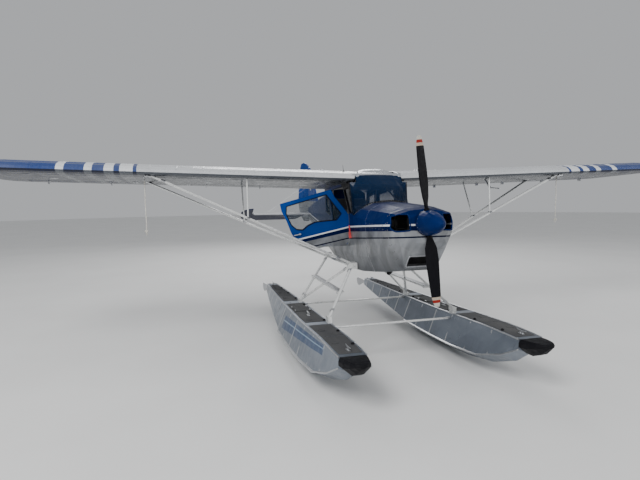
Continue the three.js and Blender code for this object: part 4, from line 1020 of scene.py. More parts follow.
def make_strut_details(name, side):
    steel = Piece(f"strut_fittings_{name}", "metal")
    for foot, top, chord, thickness in LIFT_STRUTS:
        jury = (JURY_OUT - foot[1]) / (top[1] - foot[1])
        foot, top = sided(side, *foot), sided(side, *top)
        for part in (0.075, 0.93):
            cuff(steel, foot, top, part, chord * 0.99, thickness * 0.95, 0.06)
        cuff(steel, foot, top, jury, chord, thickness * 0.98, 0.045)
    for foot, top, chord, thickness in FLOAT_STRUTS:
        for part in (0.12, 0.9):
            cuff(steel, sided(side, *foot), sided(side, *top), part, chord, thickness, 0.035)
    for aft, out, up in ((1.047, 0.929, -1.34), (2.716, 0.966, -1.435)):
        for shift in (-0.035, 0.035):
            bolt(steel, sided(side, aft + shift, out, up), (0, 1, 0), 0.056)
    for aft, up in ((1.58, -0.70), (1.66, -0.71), (2.99, -0.685)):
        bolt(steel, sided(side, aft, 0.40, up), (1, 0, 0), 0.14 if aft < 2 else 0.1)
    for aft in (1.36, 2.10, 2.83):
        steel.block(sided(side, aft, 0.672, -1.044), (0.03, 0.11, 0.012))
    steel.using("non_skid")
    steel.block(sided(side, 2.0975, 0.672, -1.0165), (1.55, 0.09, 0.004), bevel=0.001)
    steel.done(40)


for name, side in SIDES:
    make_strut_details(name, side)
for which, aft, up in (("front", 1.047, -1.447), ("rear", 2.700, -1.462)):
    ends = Piece(f"spreader_fittings_{which}", "metal")
    for part in (0.02, 0.98):
        cuff(ends, at(aft, 0.9, up), at(aft, -0.9, up), part, 0.066, 0.030)
    ends.done(40)


# Nose: lips round the inlets, fasteners, a cooler behind the chin inlet, the exhaust and the engine
COWL = Surface("nose_bowl cowl_upper cowl_lower")
BODY = Surface("nose_bowl cowl_upper cowl_lower belly boot_deck cabin_side_* rear_fuselage")


def hoop(surface, aft, start=0, end=360, count=72, middle=-0.2):
    """Spots round the body at one station, by angle from straight up towards the left."""
    spots = []
    for i in range(count + (end - start < 360)):
        turn = math.radians(start + (end - start) * i / count)
        way = Vector((0, math.sin(turn), math.cos(turn)))
        spot = surface.hit(at(aft, 0, middle) + way * 1.5, -way)
        if spot:
            spots.append(spot)
    return spots


def spaced(spots, distance):
    """Every spot that is at least distance on from the last one taken."""
    taken = [spots[0]]
    for spot in spots[1:]:
        if (spot[0] - taken[-1][0]).length >= distance:
            taken.append(spot)
    return taken


# Inlets, seen from ahead: across and up
CHEEK = [(0.208, -0.085), (0.222, 0.098), (0.330, 0.100), (0.392, 0.072), (0.404, -0.060), (0.372, -0.098)]
CHIN = [(-0.175, -0.408), (0.175, -0.408), (0.198, -0.535), (-0.198, -0.535)]
COWL_SCREW = (0.0075, 0.0022, 10)


def make_inlet_lips():
    lips = Piece("inlet_lips", "shaded_blue")
    chin_lip = Piece("chin_lip", "silver")
    for piece, outline, signs in ((lips, CHEEK, (1, -1)), (chin_lip, CHIN, (1,))):
        for sign in signs:
            middle = Vector((sum(p[0] for p in outline), sum(p[1] for p in outline))) / len(outline)
            grown = [middle + (Vector(p) - middle) * 1.035 for p in outline]
            route = along_outline(rounded(grown, 0.02), 0.012)
            spots = COWL.spots([at(-0.5, sign * y, z) for y, z in route], AFT)
            points = [p + n * 0.001 for p, n in spots if p.x > HUB_AHEAD - 0.6]
            piece.tube(points, 0.0085, 10, closed=True)
    lips.done(50)
    chin_lip.done(50)


def make_cowl_fasteners():
    """Quarter-turn screws round the cowl and along its sides, and the strap over the joint with the body."""
    screws = Piece("cowl_fasteners", "dark_metal")
    for aft, start, end in ((0.216, 20, 340), (0.246, 20, 340), (0.918, 15, 345), (0.972, 15, 345)):
        surface = COWL if aft < 0.93 else BODY
        screws.studs(spaced(hoop(surface, aft, start, end, 180), 0.085), *COWL_SCREW)
    for side in (1, -1):
        for up in (-0.035, -0.085):
            starts = [at(aft, side * 1.2, up) for aft in stations(0.30, 0.88, 0.115)]
            screws.studs(COWL.spots(starts, (0, -side, 0)), *COWL_SCREW)
    screws.done(40)
    strips = Piece("cowl_joints", "side")
    strips.ribbon(hoop(BODY, 0.953, 8, 352, 90), 0.022, 0.0022)
    strips.done(40)


def make_oil_cooler():
    """Fins, two tanks and pipes, behind the chin inlet."""
    cooler = Piece("oil_cooler", "dark_metal", slot="engine_iron")
    for i in range(24):
        cooler.block(at(0.335, -0.161 + 0.014 * i, -0.47), (0.05, 0.0018, 0.115), bevel=0)
    for up in (-0.53, -0.41):
        cooler.block(at(0.335, 0, up), (0.06, 0.35, 0.012))
    for k in range(5):
        cooler.tube([at(0.335, y, -0.51 + 0.02 * k) for y in (-0.17, 0.17)], 0.004, 8)
    cooler.done(40)


def make_exhaust():
    exhaust = Piece("exhaust", "black", slot="engine_iron")
    route = smooth_path([at(*spot) for spot in ((0.72, -0.11, -0.52), (0.75, -0.12, -0.60), (0.79, -0.125, -0.66),
                                                (0.84, -0.125, -0.70), (0.90, -0.125, -0.72))], 5)
    exhaust.tube(route, 0.024, 20)
    exhaust.tube([route[-1] + Vector((0.012, 0, 0)), route[-1] - Vector((0.004, 0, 0.001))], 0.0265, 20)
    exhaust.done(40)


def make_engine():
    """Shaft, case and four finned cylinders with rods, pipes and leads, in the place of the plain block."""
    engine = Piece("engine", "iron")
    engine.turned(((0, 0.055), (0.24, 0.055), (0.25, 0.075), (0.30, 0.082), (0.31, 0.10), (0.33, 0.11)),
                  at(0.041, 0, 0), AFT, 28)
    engine.block(at(0.60, 0, -0.03), (0.50, 0.20, 0.20), bevel=0.02, segments=3)
    engine.block(at(0.60, 0, -0.18), (0.40, 0.17, 0.14), bevel=0.02, segments=3)
    engine.block(at(0.86, 0, -0.04), (0.10, 0.16, 0.16), bevel=0.015)
    pipe = lambda side, *spots: [sided(side, *spot) for spot in spots]
    fins = [(0.10 + 0.0115 * k + y, radius) for k in range(11) for y, radius in (
        (0, 0.060), (0.001, 0.080), (0.004, 0.080), (0.005, 0.060))]
    cylinders = [(aft, side) for aft in (0.44, 0.70) for side in (1, -1)]
    for aft, side in cylinders:
        engine.turned([(0.095, 0.062)] + fins + [(0.23, 0.062), (0.232, 0.086), (0.262, 0.086), (0.264, 0.07)],
                      at(aft, 0, -0.02), (0, side, 0), 28)
        engine.block(at(aft, side * 0.28, -0.02), (0.13, 0.04, 0.10), bevel=0.012, segments=3)
        for rod in (aft - 0.04, aft + 0.04):
            engine.tube(pipe(side, (rod, 0.10, -0.085), (rod, 0.262, -0.075)), 0.009, 10)
        engine.tube(smooth_path(pipe(side, (aft + 0.05, 0.24, -0.10), (aft + 0.06, 0.24, -0.19), (0.62, 0.14, -0.24),
                                     (0.62, 0.06, -0.24)), 5), 0.022, 14)
        engine.tube(smooth_path(pipe(side, (aft - 0.05, 0.24, -0.10), (aft - 0.05, 0.25, -0.22), (0.68, 0.20, -0.30),
                                     (0.72, 0.02 - side * 0.11, -0.31)), 5), 0.02, 14)
    for y in (-0.06, 0.06):
        engine.turned(((0, 0.04), (0.06, 0.038), (0.07, 0.02)), at(0.84, y, 0.05), AFT, 18)
    engine.using("black")
    for aft, side in cylinders:
        engine.tube(smooth_path(pipe(side, (0.88, 0.05, 0.06), (aft + 0.08, 0.12, 0.095), (aft, 0.22, 0.07),
                                     (aft, 0.25, 0.05)), 6), 0.005, 8)
    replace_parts(engine.done(35), "engine_block")


make_inlet_lips()
make_cowl_fasteners()
make_oil_cooler()
make_exhaust()
make_engine()


# Spinner's backplate and screws, which turn with the propeller
def make_spinner():
    spin = Piece("spinner_ring", "navy", "propeller")
    spin.turned(((-0.0275, 0.132), (-0.026, 0.1515), (-0.014, 0.1525), (-0.013, 0.1495)), at(0, 0, 0), -AFT, 64)
    spin.done(30)
    screws = Piece("spinner_screws", "metal", "propeller")
    surface = Surface("spinner")
    ways = [Vector((0, math.sin(a), math.cos(a))) for a in turns(18, 0.5)]
    screws.studs([spot for way in ways for spot in surface.spots([at(-0.012, 0, 0) + way * 0.4], -way)],
                 0.0048, 0.0016)
    screws.done(40)


make_spinner()


# Wings, in their own frame as in the CAD: x ahead, y along the span, z up from the flat bottom
CHORD, WING_LEAD, WING_UP, WING_ROOT = 1.524, 1.587, 0.520, 0.356
DIHEDRAL, INCIDENCE = math.radians(1.9), math.radians(2.63)
# Airfoil: place along the chord, height of the upper and of the lower skin, as parts of the chord
AIRFOIL = ((0, 0.039, 0.039), (0.0125, 0.062, 0.0214), (0.05, 0.090, 0.0103), (0.12, 0.112, 0.003), (0.22, 0.128, 0),
           (0.34, 0.131, 0), (0.48, 0.121, 0), (0.64, 0.096, 0), (0.80, 0.058, 0), (1, 0.004, 0))
HINGE_AFT = 0.8 * CHORD
SURFACES = (("flap", 0.110, 2.330), ("aileron", 2.370, 4.600))
# Height of the cloth tapes over the skin
TAPE = 0.0013
# Inner edge of the fairing between wing and roof: aft and half width
ROOT_LINE = ((1.600, 0.348), (1.620, 0.335), (1.645, 0.317), (1.670, 0.300), (1.710, 0.280), (1.750, 0.266),
             (1.850, 0.264), (2.100, 0.264), (2.400, 0.264), (2.700, 0.264))


def wing_place(side):
    return Matrix.Translation(at(WING_LEAD, side * WING_ROOT, WING_UP)) @ Matrix.Rotation(
        side * DIHEDRAL, 4, "X") @ Matrix.Rotation(-INCIDENCE, 4, "Y")


def wing_spot(side, out, part, over=True, lift=0.0):
    """A point on the wing's skin and its normal there, from its place along the span and the chord."""
    place = wing_place(side)
    for near, far in zip(AIRFOIL, AIRFOIL[1:]):
        if near[0] <= part <= far[0]:
            share = (part - near[0]) / (far[0] - near[0])
            level = 1 if over else 2
            up = (near[level] + (far[level] - near[level]) * share) * CHORD
            slope = (far[level] - near[level]) / (far[0] - near[0])
            normal = Vector((slope, 0, 1)).normalized() * (1 if over else -1)
            point = place @ (Vector((-part * CHORD, side * out, up)) + normal * lift)
            return point, (place.to_3x3() @ normal)
    raise ValueError(part)


def make_wing_tapes(name, side):
    """Tapes over the ribs and along the spars."""
    tapes = Piece(f"wing_tapes_{name}", "wing")
    parts = [0.02, 0.035, 0.05, 0.085, 0.12, 0.17, 0.22, 0.34, 0.48, 0.64, 0.755]
    for out in stations(0.04, 4.62, 0.34):
        for over, first in ((True, 0), (False, 2)):
            tapes.ribbon([wing_spot(side, out, part, over) for part in parts[first:]], 0.036, TAPE)
    for part, over in ((0.12, True), (0.12, False), (0.745, True), (0.745, False)):
        tapes.ribbon([wing_spot(side, out, part, over) for out in stations(0.02, 4.62, 0.5)], 0.04, TAPE - 0.0001)
    tapes.done(30)


def make_flap_details(name, side):
    """The tapes and hinge fittings of the flap and the aileron."""
    place = wing_place(side)
    turn = place.to_3x3()
    for surface, near, far in SURFACES:
        moving = Piece(f"{surface}_tapes_{name}", "wing", f"{surface}_{name}")
        for out in stations(near + 0.03, far - 0.03, 0.34):
            for over in (True, False):
                moving.ribbon([wing_spot(side, out, part, over) for part in (0.81, 0.88, 0.94, 0.992)], 0.03, TAPE)
        moving.done(30)
        arms = Piece(f"{surface}_fittings_{name}", "metal", f"{surface}_{name}")
        for out in stations(near + 0.25, far - 0.25, 0.85):
            arms.block(place @ Vector((-HINGE_AFT - 0.062, side * out, -0.022)), (0.09, 0.006, 0.045), turn, 0.002)
            arms.block(place @ Vector((-HINGE_AFT - 0.072, side * out, -0.0015)), (0.11, 0.035, 0.003), turn, 0.001)
        arms.done(40)


def make_wing_fittings(name, side):
    """Inspection covers, the struts' plates and bolts, the fuel cap, and the strip over the root's gap."""
    turn = wing_place(side).to_3x3()
    parts = Piece(f"wing_fittings_{name}", "metal")
    for out in (0.60, 1.30, 2.05, 2.75, 3.45, 4.15):
        spot, normal = wing_spot(side, out, 0.50, False)
        parts.turned(((-0.001, 0.058), (0.0015, 0.0575), (0.0025, 0.053), (0.0028, 0.001)), spot, normal, 36)
    for out, part in ((2.869, 0.08), (3.117, 1.07 / CHORD)):
        spot, normal = wing_spot(side, out, part, False)
        parts.block(spot + normal * 0.004, (0.15, 0.075, 0.009), turn, 0.003)
        for shift in (-0.055, 0.055):
            bolt(parts, spot + turn @ Vector((shift, 0, 0)) + normal * 0.004, normal, 0.012)
    spot, normal = wing_spot(side, 0.42, 0.20)
    parts.turned(((-0.002, 0.052), (0.003, 0.052), (0.006, 0.047), (0.007, 0.036), (0.016, 0.033), (0.02, 0.028),
                  (0.021, 0.001)), spot, normal, 32)
    along = normal.orthogonal().normalized()
    for reach in circle(Vector(), 1, along, normal.cross(along), 3):
        parts.tube([spot + normal * 0.02 + reach * 0.006, spot + normal * 0.019 + reach * 0.03], [0.004, 0.003], 8)
    parts.ribbon([wing_spot(side, 0.008, part) for part in (
        0.03, 0.05, 0.085, 0.12, 0.17, 0.22, 0.34, 0.48, 0.64, 0.8, 0.9, 0.985)], 0.06, 0.002)
    parts.done(40)


def make_root_fairing(name, side):
    """Sheet between the wing and the cabin's roof, with a rubber seal round its front."""
    roof = Surface("cabin_roof")
    fairing = Piece(f"root_fairing_{name}", "wing")
    rings = []
    border = []
    for aft, inner in ROOT_LINE:
        spots = roof.spots([at(aft, side * (inner + (0.352 - inner) * k / 3), OVERHEAD) for k in range(4)], DOWN)
        if len(spots) == 4:
            rings.append([p + n * 0.003 for p, n in spots] + [p - n * 0.001 for p, n in spots[::-1]])
            border.append(spots[0][0] + spots[0][1] * 0.003)
    fairing.loft(rings)
    fairing.done(40)
    seal = Piece(f"root_seal_{name}", "seal")
    route = [wing_spot(side, 0.006, part, False, 0.002)[0] for part in (0.16, 0.12, 0.05, 0.0125)]
    route += [wing_spot(side, 0.006, 0, True, 0.002)[0]] + border[:6]
    seal.tube(smooth_path(route, 4), 0.010, 12)
    seal.done(50)


def make_tip_light(name, side):
    place = wing_place(side)
    light = Piece(f"tip_light_{name}", "lens_red" if side > 0 else "lens_green")
    spot = place @ Vector((-0.40, side * 5.085, 0.085))
    outward = place.to_3x3() @ Vector((0.25, side, 0.08)).normalized()
    light.turned(((-0.012, 0.016), (0.006, 0.0165), (0.022, 0.0145), (0.032, 0.009), (0.036, 0.002)), spot, outward, 20)
    light.using("metal")
    light.turned(((-0.022, 0.021), (-0.004, 0.022), (0.002, 0.018)), spot, outward, 20)
    light.done(40)


for name, side in SIDES:
    for make in (make_wing_tapes, make_flap_details, make_wing_fittings, make_root_fairing, make_tip_light):
        make(name, side)


# Tail: brace wires, tapes, hinges, control horns and lights. The stabilizer's front edge is given aft and out
STABILIZER = ((5.29, 0.04), (5.30, 0.15), (5.56, 1.15), (5.622, 1.34))
TAIL_HALF, TAIL_UP = 0.013, -0.050


def turned_about(pivot, degrees, axis):
    """The turn that brings a surface modelled in line with the tail to where it rests."""
    return Matrix.Translation(pivot) @ Matrix.Rotation(math.radians(degrees), 4, axis) @ Matrix.Translation(-pivot)


ELEVATOR_REST = turned_about(at(5.97, 0, TAIL_UP), -20, "Y")
RUDDER_REST = turned_about(at(6.05, 0, 0), 15, "Z")


def make_brace_wires():
    """Wires from the stabilizers up to the fin and down to the body, with their lugs."""
    wires = Piece("tail_wires", "metal")
    for side in (1, -1):
        for aft, fin, low in ((5.56, (5.60, 0.012, 0.62), (5.60, 0.065, -0.20)),
                              (5.93, (5.93, 0.012, 0.66), (5.92, 0.03, -0.135))):
            for way, end in ((1, fin), (-1, low)):
                wires.tube([sided(side, aft, 1.02, TAIL_UP + way * TAIL_HALF), sided(side, *end)], CABLE, 6)
                wires.block(sided(side, aft, 1.02, TAIL_UP + way * (TAIL_HALF + 0.004)), (0.05, 0.02, 0.008))
            wires.block(sided(side, fin[0], 0.015, fin[2]), (0.03, 0.006, 0.05))
    wires.done(40)


def make_tail_tapes():
    tapes = Piece("tail_tapes", "tail")
    for side in (1, -1):
        for out in stations(0.25, 1.25, 0.24):
            lead = next(a[0] + (b[0] - a[0]) * (out - a[1]) / (b[1] - a[1]) for a, b in zip(STABILIZER, STABILIZER[1:])
                        if a[1] <= out <= b[1])
            for way in (1, -1):
                normal = Vector((0, 0, way))
                tapes.ribbon([(sided(side, aft, out, TAIL_UP + way * TAIL_HALF), normal)
                              for aft in (lead + 0.012, 5.6, 5.945) if aft >= lead + 0.01], 0.03, TAPE)
    tapes.using("fin")
    for up in stations(0.42, 0.94, 0.17):
        lead = 5.48 + (up - 0.56) * 0.94 if up > 0.56 else 5.25 + (up - 0.30) * 0.88
        for way in (1, -1):
            tapes.ribbon([(at(aft, way * TAIL_HALF, up), Vector((0, way, 0))) for aft in (lead + 0.03, 6.02)],
                         0.03, TAPE)
    tapes.done(30)


def make_elevator_details():
    """Tapes, control horns and the trim tab's edge and horn."""
    moving = Piece("elevator_tapes", "navy", "elevators", "wing_cloth")
    for side in (1, -1):
        for out in stations(0.32, 1.25, 0.24):
            for way in (1, -1):
                normal = Vector((0, 0, way))
                moving.ribbon([(sided(side, aft, out, TAIL_UP + way * TAIL_HALF), normal)
                               for aft in (5.975, 6.2, 6.34)], 0.03, TAPE)
    moving.using("metal")
    for way in (1, -1):
        moving.block(at(6.02, 0.07, TAIL_UP + way * 0.075), (0.03, 0.006, 0.13), Matrix.Rotation(way * 0.2, 4, "Y"))
    moving.block(at(6.31, 0.62, TAIL_UP + 0.0135), (0.006, 0.62, 0.003), bevel=0.001)
    moving.block(at(6.30, 0.42, TAIL_UP - 0.032), (0.03, 0.005, 0.045), bevel=0.001)
    moving.moved(ELEVATOR_REST).done(40)


def make_rudder_details():
    """Tapes, the horn for the cables, and the tail light."""
    rudder = Piece("rudder_details", "fin", "rudder")
    for up in stations(-0.10, 0.98, 0.18):
        for way in (1, -1):
            end = 6.40 if up < 0.85 else 6.34
            rudder.ribbon([(at(aft, way * TAIL_HALF, up), Vector((0, way, 0))) for aft in (6.06, end)], 0.03, TAPE)
    rudder.using("metal")
    rudder.block(at(6.05, 0, -0.215), (0.03, 0.20, 0.006))
    for way in (1, -1):
        rudder.turned(((0, 0.006), (0.008, 0.006)), at(6.05, way * 0.088, -0.214), (0, 0, 1), 8)
    rudder.using("lens_white")
    rudder.turned(((-0.004, 0.014), (0.012, 0.013), (0.022, 0.007), (0.024, 0.001)), at(6.50, 0, 0.70), AFT, 16)
    rudder.moved(RUDDER_REST).done(40)


def make_tail_cables():
    """Cables from the body to the rudder's horn, and the lugs of the elevators' hinges."""
    cables = Piece("tail_cables", "dark_metal")
    for way in (1, -1):
        cables.tube([RUDDER_REST @ at(6.05, way * 0.088, -0.214), at(5.45, way * 0.132, -0.19)], CABLE, 6)
    cables.done(40, across=("airframe", "rudder", at(5.50, 0, -0.2), at(6.00, 0, -0.2)))
    lugs = Piece("tail_hinges", "metal")
    for side in (1, -1):
        for out in (0.30, 0.85, 1.28):
            lugs.block(sided(side, 5.958, out, TAIL_UP), (0.016, 0.05, 0.03))
    lugs.done(40)


make_brace_wires()
make_tail_tapes()
make_elevator_details()
make_rudder_details()
make_tail_cables()


# Cabin: window frames, windshield strips, the door's fittings, seats, panel and tubes. Windows are aft and up
QUARTER = [(1.560, 0.085), (1.695, 0.085), (1.745, 0.181), (1.852, 0.363), (1.868, 0.422), (1.622, 0.452)]
MAIN = [(1.856, 0.045), (2.588, 0.015), (2.644, 0.345), (1.996, 0.420)]
REAR = [(2.755, 0.020), (3.040, 0.060), (3.050, 0.300), (2.790, 0.372)]
# Columns of the windshield from its middle to one side: foot and top, each aft, out and up
WINDSHIELD = ((1.140, 0, 0.254, 1.650, 0, 0.653), (1.165, 0.120, 0.247, 1.650, 0.120, 0.653),
              (1.195, 0.235, 0.231, 1.649, 0.235, 0.652), (1.262, 0.318, 0.190, 1.645, 0.300, 0.650),
              (1.340, 0.380, 0.140, 1.618, 0.350, 0.632), (1.420, 0.408, 0.095, 1.584, 0.400, 0.560),
              (1.498, 0.421, 0.048, 1.592, 0.446, 0.518))
SHIELD_BOW = 0.022


def widened(outline, distance):
    """An outline moved out by a distance, each corner along both of its edges."""
    points = [Vector(p) for p in outline]
    area = sum(a.x * b.y - a.y * b.x for a, b in zip(points, points[1:] + points[:1]))
    turning = 1 if area > 0 else -1
    moved = []
    for i, point in enumerate(points):
        before = (point - points[i - 1]).normalized()
        after = (points[(i + 1) % len(points)] - point).normalized()
        out_before = Vector((before.y, -before.x)) * turning
        out_after = Vector((after.y, -after.x)) * turning
        corner = (out_before + out_after) * distance / (1 + out_before.dot(out_after))
        moved.append((point.x + corner.x, point.y + corner.y))
    return moved


def make_window_frames():
    for name, side in SIDES:
        wall = Surface(f"cabin_side_{name}")
        frames = Piece(f"window_frames_{name}", "seal")
        screws = Piece(f"window_screws_{name}", "metal")
        for outline in (QUARTER, REAR, MAIN)[:3 if side > 0 else 2]:
            for grow, piece in ((0.006, frames), (0.024, screws)):
                route = along_outline(rounded(widened(outline, grow), 0.02), 0.03)
                spots = wall.spots([at(aft, side * 0.9, up) for aft, up in route], (0, -side, 0))
                if piece is frames:
                    frames.ribbon(spots, 0.018, 0.004, closed=True)
                else:
                    screws.studs(spaced(spots, 0.075), 0.0042, 0.0015)
        frames.done(40)
        screws.done(40)


def windshield_point(column, part, lift=0.0):
    index = min(int(abs(column)), len(WINDSHIELD) - 2)
    share = abs(column) - index
    row = [a + (b - a) * share for a, b in zip(WINDSHIELD[index], WINDSHIELD[index + 1])]
    aft, out, up, top_aft, top_out, top_up = row
    return at(aft + (top_aft - aft) * part, math.copysign(out + (top_out - out) * part, column),
              up + (top_up - up) * part + SHIELD_BOW * math.sin(math.pi * part) + lift)


# Metal crown between the windshield and the skylight: aft, half width and height over the roof
CROWN = ((1.640, 0.290, 0.000), (1.660, 0.290, 0.012), (1.700, 0.275, 0.029), (1.750, 0.260, 0.039),
         (1.800, 0.255, 0.038), (1.850, 0.255, 0.028), (1.900, 0.255, 0.013), (1.940, 0.255, 0.001))


def make_windshield_rim():
    rim = Piece("windshield_rim", "roof")
    pane = Surface("windshield")
    ahead = Vector((0.7, 0, 0.7))
    starts = [windshield_point(c / 3, 0.955) + ahead * 0.2 for c in range(-12, 13)]
    rim.ribbon([(p + n * 0.001, n) for p, n in pane.spots(starts, -ahead)], 0.052, 0.003)
    rim.done(40)


def make_crown():
    crown = Piece("roof_crown", "roof")
    roof = Surface("cabin_roof windshield skylight")
    rings = []
    for aft, half, lift in CROWN:
        across = [half * (k / 8 - 1) for k in range(17)]
        tries = [[roof.hit(at(aft + shift, y, OVERHEAD), DOWN) for shift in (0, 0.004, 0.008)] for y in across]
        spots = [next(spot for spot in row if spot) for row in tries]
        over = [p + Vector((0, 0, 0.003 + lift * (1 - (y / half) ** 4))) for (p, _), y in zip(spots, across)]
        rings.append(over + [p - Vector((0, 0, 0.001)) for p, _ in spots[::-1]])
    crown.loft(rings)
    crown.done(50)


def make_windshield_seal():
    """The seal along the windshield's foot and its two sides, and the screws behind it."""
    strip = Piece("windshield_seal", "seal")
    spots = []
    for column in (c / 3 for c in range(-18, 19)):
        lean = 0.25 * math.copysign(1, column) if column else 0
        spots.append((windshield_point(column, 0.0) + Vector((0.012, 0, 0)), Vector((0.75, lean, 0.7)).normalized()))
    strip.ribbon(spots, 0.022, 0.004)
    for side in (1, -1):
        strip.tube([windshield_point(side * 5.97, part / 10, 0.004) for part in range(11)], 0.010, 10)
    strip.done(40)
    screws = Piece("windshield_screws", "metal")
    screws.studs([(p + Vector((0.02, 0, -0.004)) + n * 0.004, n) for p, n in spots[1:-1]], 0.0038, 0.0016)
    screws.done(40)


def make_dials():
    """The instruments with their ticks and pointers, a row of switches and three knobs."""
    panel = Piece("panel_dials", "black", slot="panel_plastic")
    face = lambda ahead, y, up: at(1.3215 - ahead, y, up)
    big, small = 0.040, 0.029
    dials = ((-0.21, 0.14, big), (-0.11, 0.14, big), (-0.01, 0.14, big), (-0.16, 0.045, big), (-0.06, 0.045, big),
             (0.12, 0.14, small), (0.20, 0.14, small), (0.16, 0.06, small), (0.25, 0.06, small))
    for y, up, radius in dials:
        panel.turned(((0, radius * 1.12), (0.007, radius * 1.12), (0.008, radius), (0.004, radius * 0.96),
                      (0.004, 0.001)), face(0, y, up), AFT, 32)
    panel.using("white")
    clock = lambda angle: Vector((0, math.sin(angle), math.cos(angle)))
    for y, up, radius in dials:
        for angle in turns(12, 1)[:10]:
            panel.tube([face(-0.0046, y, up) + clock(angle + math.pi) * radius * part for part in (0.74, 0.92)],
                       0.0009, 4)
        pointer = face(-0.0052, y, up)
        panel.tube([pointer, pointer + clock(y * 40) * radius * 0.7], [0.0016, 0.0005], 5)
    panel.using("metal")
    for k in range(6):
        y = -0.22 + 0.04 * k
        panel.tube([face(0, y, -0.05), face(-0.018, y, -0.044)], [0.004, 0.003], 8)
    for y, colour in ((0.08, "red"), (0.15, "black"), (0.22, "white")):
        panel.using(colour)
        panel.turned(((0, 0.006), (0.035, 0.006), (0.036, 0.016), (0.05, 0.017), (0.052, 0.001)), face(0, y, -0.05),
                     AFT, 18)
    panel.done(40)


def make_glare_shield():
    shield = Piece("glare_shield", "lining")
    rings = []
    for column in (c / 2 for c in range(-9, 10)):
        row = windshield_point(column, 0.0)
        base = Vector((min(row.x - 0.02, at(1.25, 0, 0).x), row.y * 0.93, row.z + 0.002 - 0.03 * abs(column) / 9))
        back = Vector((at(1.37, 0, 0).x, row.y * 0.93, row.z - 0.004))
        rings.append([base, base + Vector((-0.01, 0, -0.022)), back + Vector((0, 0, -0.024)),
                      back + Vector((-0.008, 0, -0.012)), back])
    shield.loft(rings)
    shield.done(40)


CABIN_TUBE = 0.0125


def make_cabin_tubes():
    frame_tubes = Piece("cabin_tubes", "dark_metal", slot="black_paint")
    for side in (1, -1):
        runs = (((1.335, 0.33, 0.10), (1.66, 0.03, 0.575)), ((1.62, 0.350, -0.10), (1.70, 0.385, 0.47)),
                ((1.70, 0.385, 0.47), (2.66, 0.385, 0.435)), ((2.66, 0.385, 0.435), (2.68, 0.335, -0.30)),
                ((2.66, 0.385, 0.435), (3.07, 0.33, 0.40)), ((1.98, 0.335, -0.34), (2.68, 0.335, -0.34)))
        for start, end in runs:
            frame_tubes.tube([sided(side, *start), sided(side, *end)], CABIN_TUBE)
    for aft, up in ((1.70, 0.475), (2.66, 0.44)):
        frame_tubes.tube([at(aft, y, up) for y in (0.40, -0.40)], CABIN_TUBE)
    frame_tubes.done(40)


def make_cabin_floor():
    """Carpet, and a lined wall behind the rear seat."""
    floor = Piece("cabin_floor", "carpet")
    floor.block(at(2.30, 0, -0.685), (1.40, 0.56, 0.012), bevel=0.004)
    floor.using("lining")
    floor.block(at(3.085, 0, -0.10), (0.012, 0.66, 0.76), bevel=0.004)
    floor.done(40)


def make_sticks():
    """The rear control stick, and the grips of both."""
    stick = Piece("rear_stick", "black")
    stick.tube(smooth_path([at(2.56, 0, -0.68), at(2.56, 0, -0.50), at(2.54, 0, -0.36), at(2.57, 0, -0.22)], 5), 0.011)
    for aft, up, lean, grip in ((2.565, -0.235, -0.15, (0.014, 0.018, 0.017)),
                                (1.882, -0.26, -0.25, (0.015, 0.02, 0.018))):
        profile = list(zip((0, 0.01, 0.10), grip)) + [(0.12, 0.012), (0.124, 0.002)]
        stick.turned(profile, at(aft, 0, up), (lean, 0, 1), 16)
    stick.done(40)


DOOR_OUTLINE = [(0.056, -0.415), (0.014, -0.062), (0.004, 0.050), (0.072, 0.181), (0.176, 0.355), (0.216, 0.470),
                (0.990, 0.410), (0.984, 0.295), (0.937, 0.147), (0.898, -0.047), (0.851, -0.161), (0.597, -0.348),
                (0.451, -0.346)]
DOOR_GLASS = [(0.118, 0.092), (0.300, 0.408), (0.905, 0.356), (0.926, 0.255), (0.876, 0.078), (0.811, 0.001),
              (0.725, -0.024), (0.640, 0.024), (0.523, 0.052), (0.199, 0.016)]


def make_door():
    """Seals, lining, handles and screws, all turned open with the door."""
    door = lambda a, b, h: DOOR_PLACE @ Vector((a, b, h))
    turn = DOOR_PLACE.to_3x3()
    seal = Piece("door_seals", "seal", "door")
    for depth, way in ((0.0, -1), (DOOR_THICK, 1)):
        normal = turn @ Vector((0, 0, way))
        route = along_outline(rounded(widened(DOOR_GLASS, 0.004), 0.012), 0.05)
        seal.ribbon([(door(a, b, depth), normal) for a, b in route], 0.014, 0.003, closed=True)
    route = along_outline(rounded(widened(DOOR_OUTLINE, -0.012), 0.02), 0.05)
    seal.ribbon([(door(a, b, DOOR_THICK), turn @ UP) for a, b in route], 0.012, 0.004, closed=True)
    seal.done(40)
    inner = Piece("door_lining", "lining", "door")
    low = [(0.085, -0.36), (0.055, -0.075), (0.10, -0.03), (0.55, -0.02), (0.72, -0.085), (0.83, -0.12),
           (0.59, -0.31), (0.455, -0.31)]
    inner.plate(rounded(low, 0.03), 0.006, DOOR_PLACE @ Matrix.Translation((0, 0, DOOR_THICK)))
    inner.done(30)
    gear = Piece("door_fittings", "metal", "door")
    gear.block(door(0.82, -0.075, -0.012), (0.11, 0.016, 0.012), turn, 0.004, 3)
    gear.turned(((0.0, 0.018), (0.004, 0.018), (0.014, 0.010)), door(0.78, -0.075, 0), turn @ DOWN, 18)
    gear.block(door(0.78, -0.08, 0.048), (0.10, 0.014, 0.010), turn, 0.004, 3)
    gear.turned(((0.0, 0.016), (0.018, 0.010)), door(0.825, -0.08, 0.034), turn @ UP, 18)
    gear.using("blue")
    rim = along_outline(rounded(widened(DOOR_OUTLINE, -0.028), 0.02), 0.085)
    gear.studs([(door(a, b, 0.0), turn @ DOWN) for a, b in rim], 0.0042, 0.0014)
    gear.done(40)


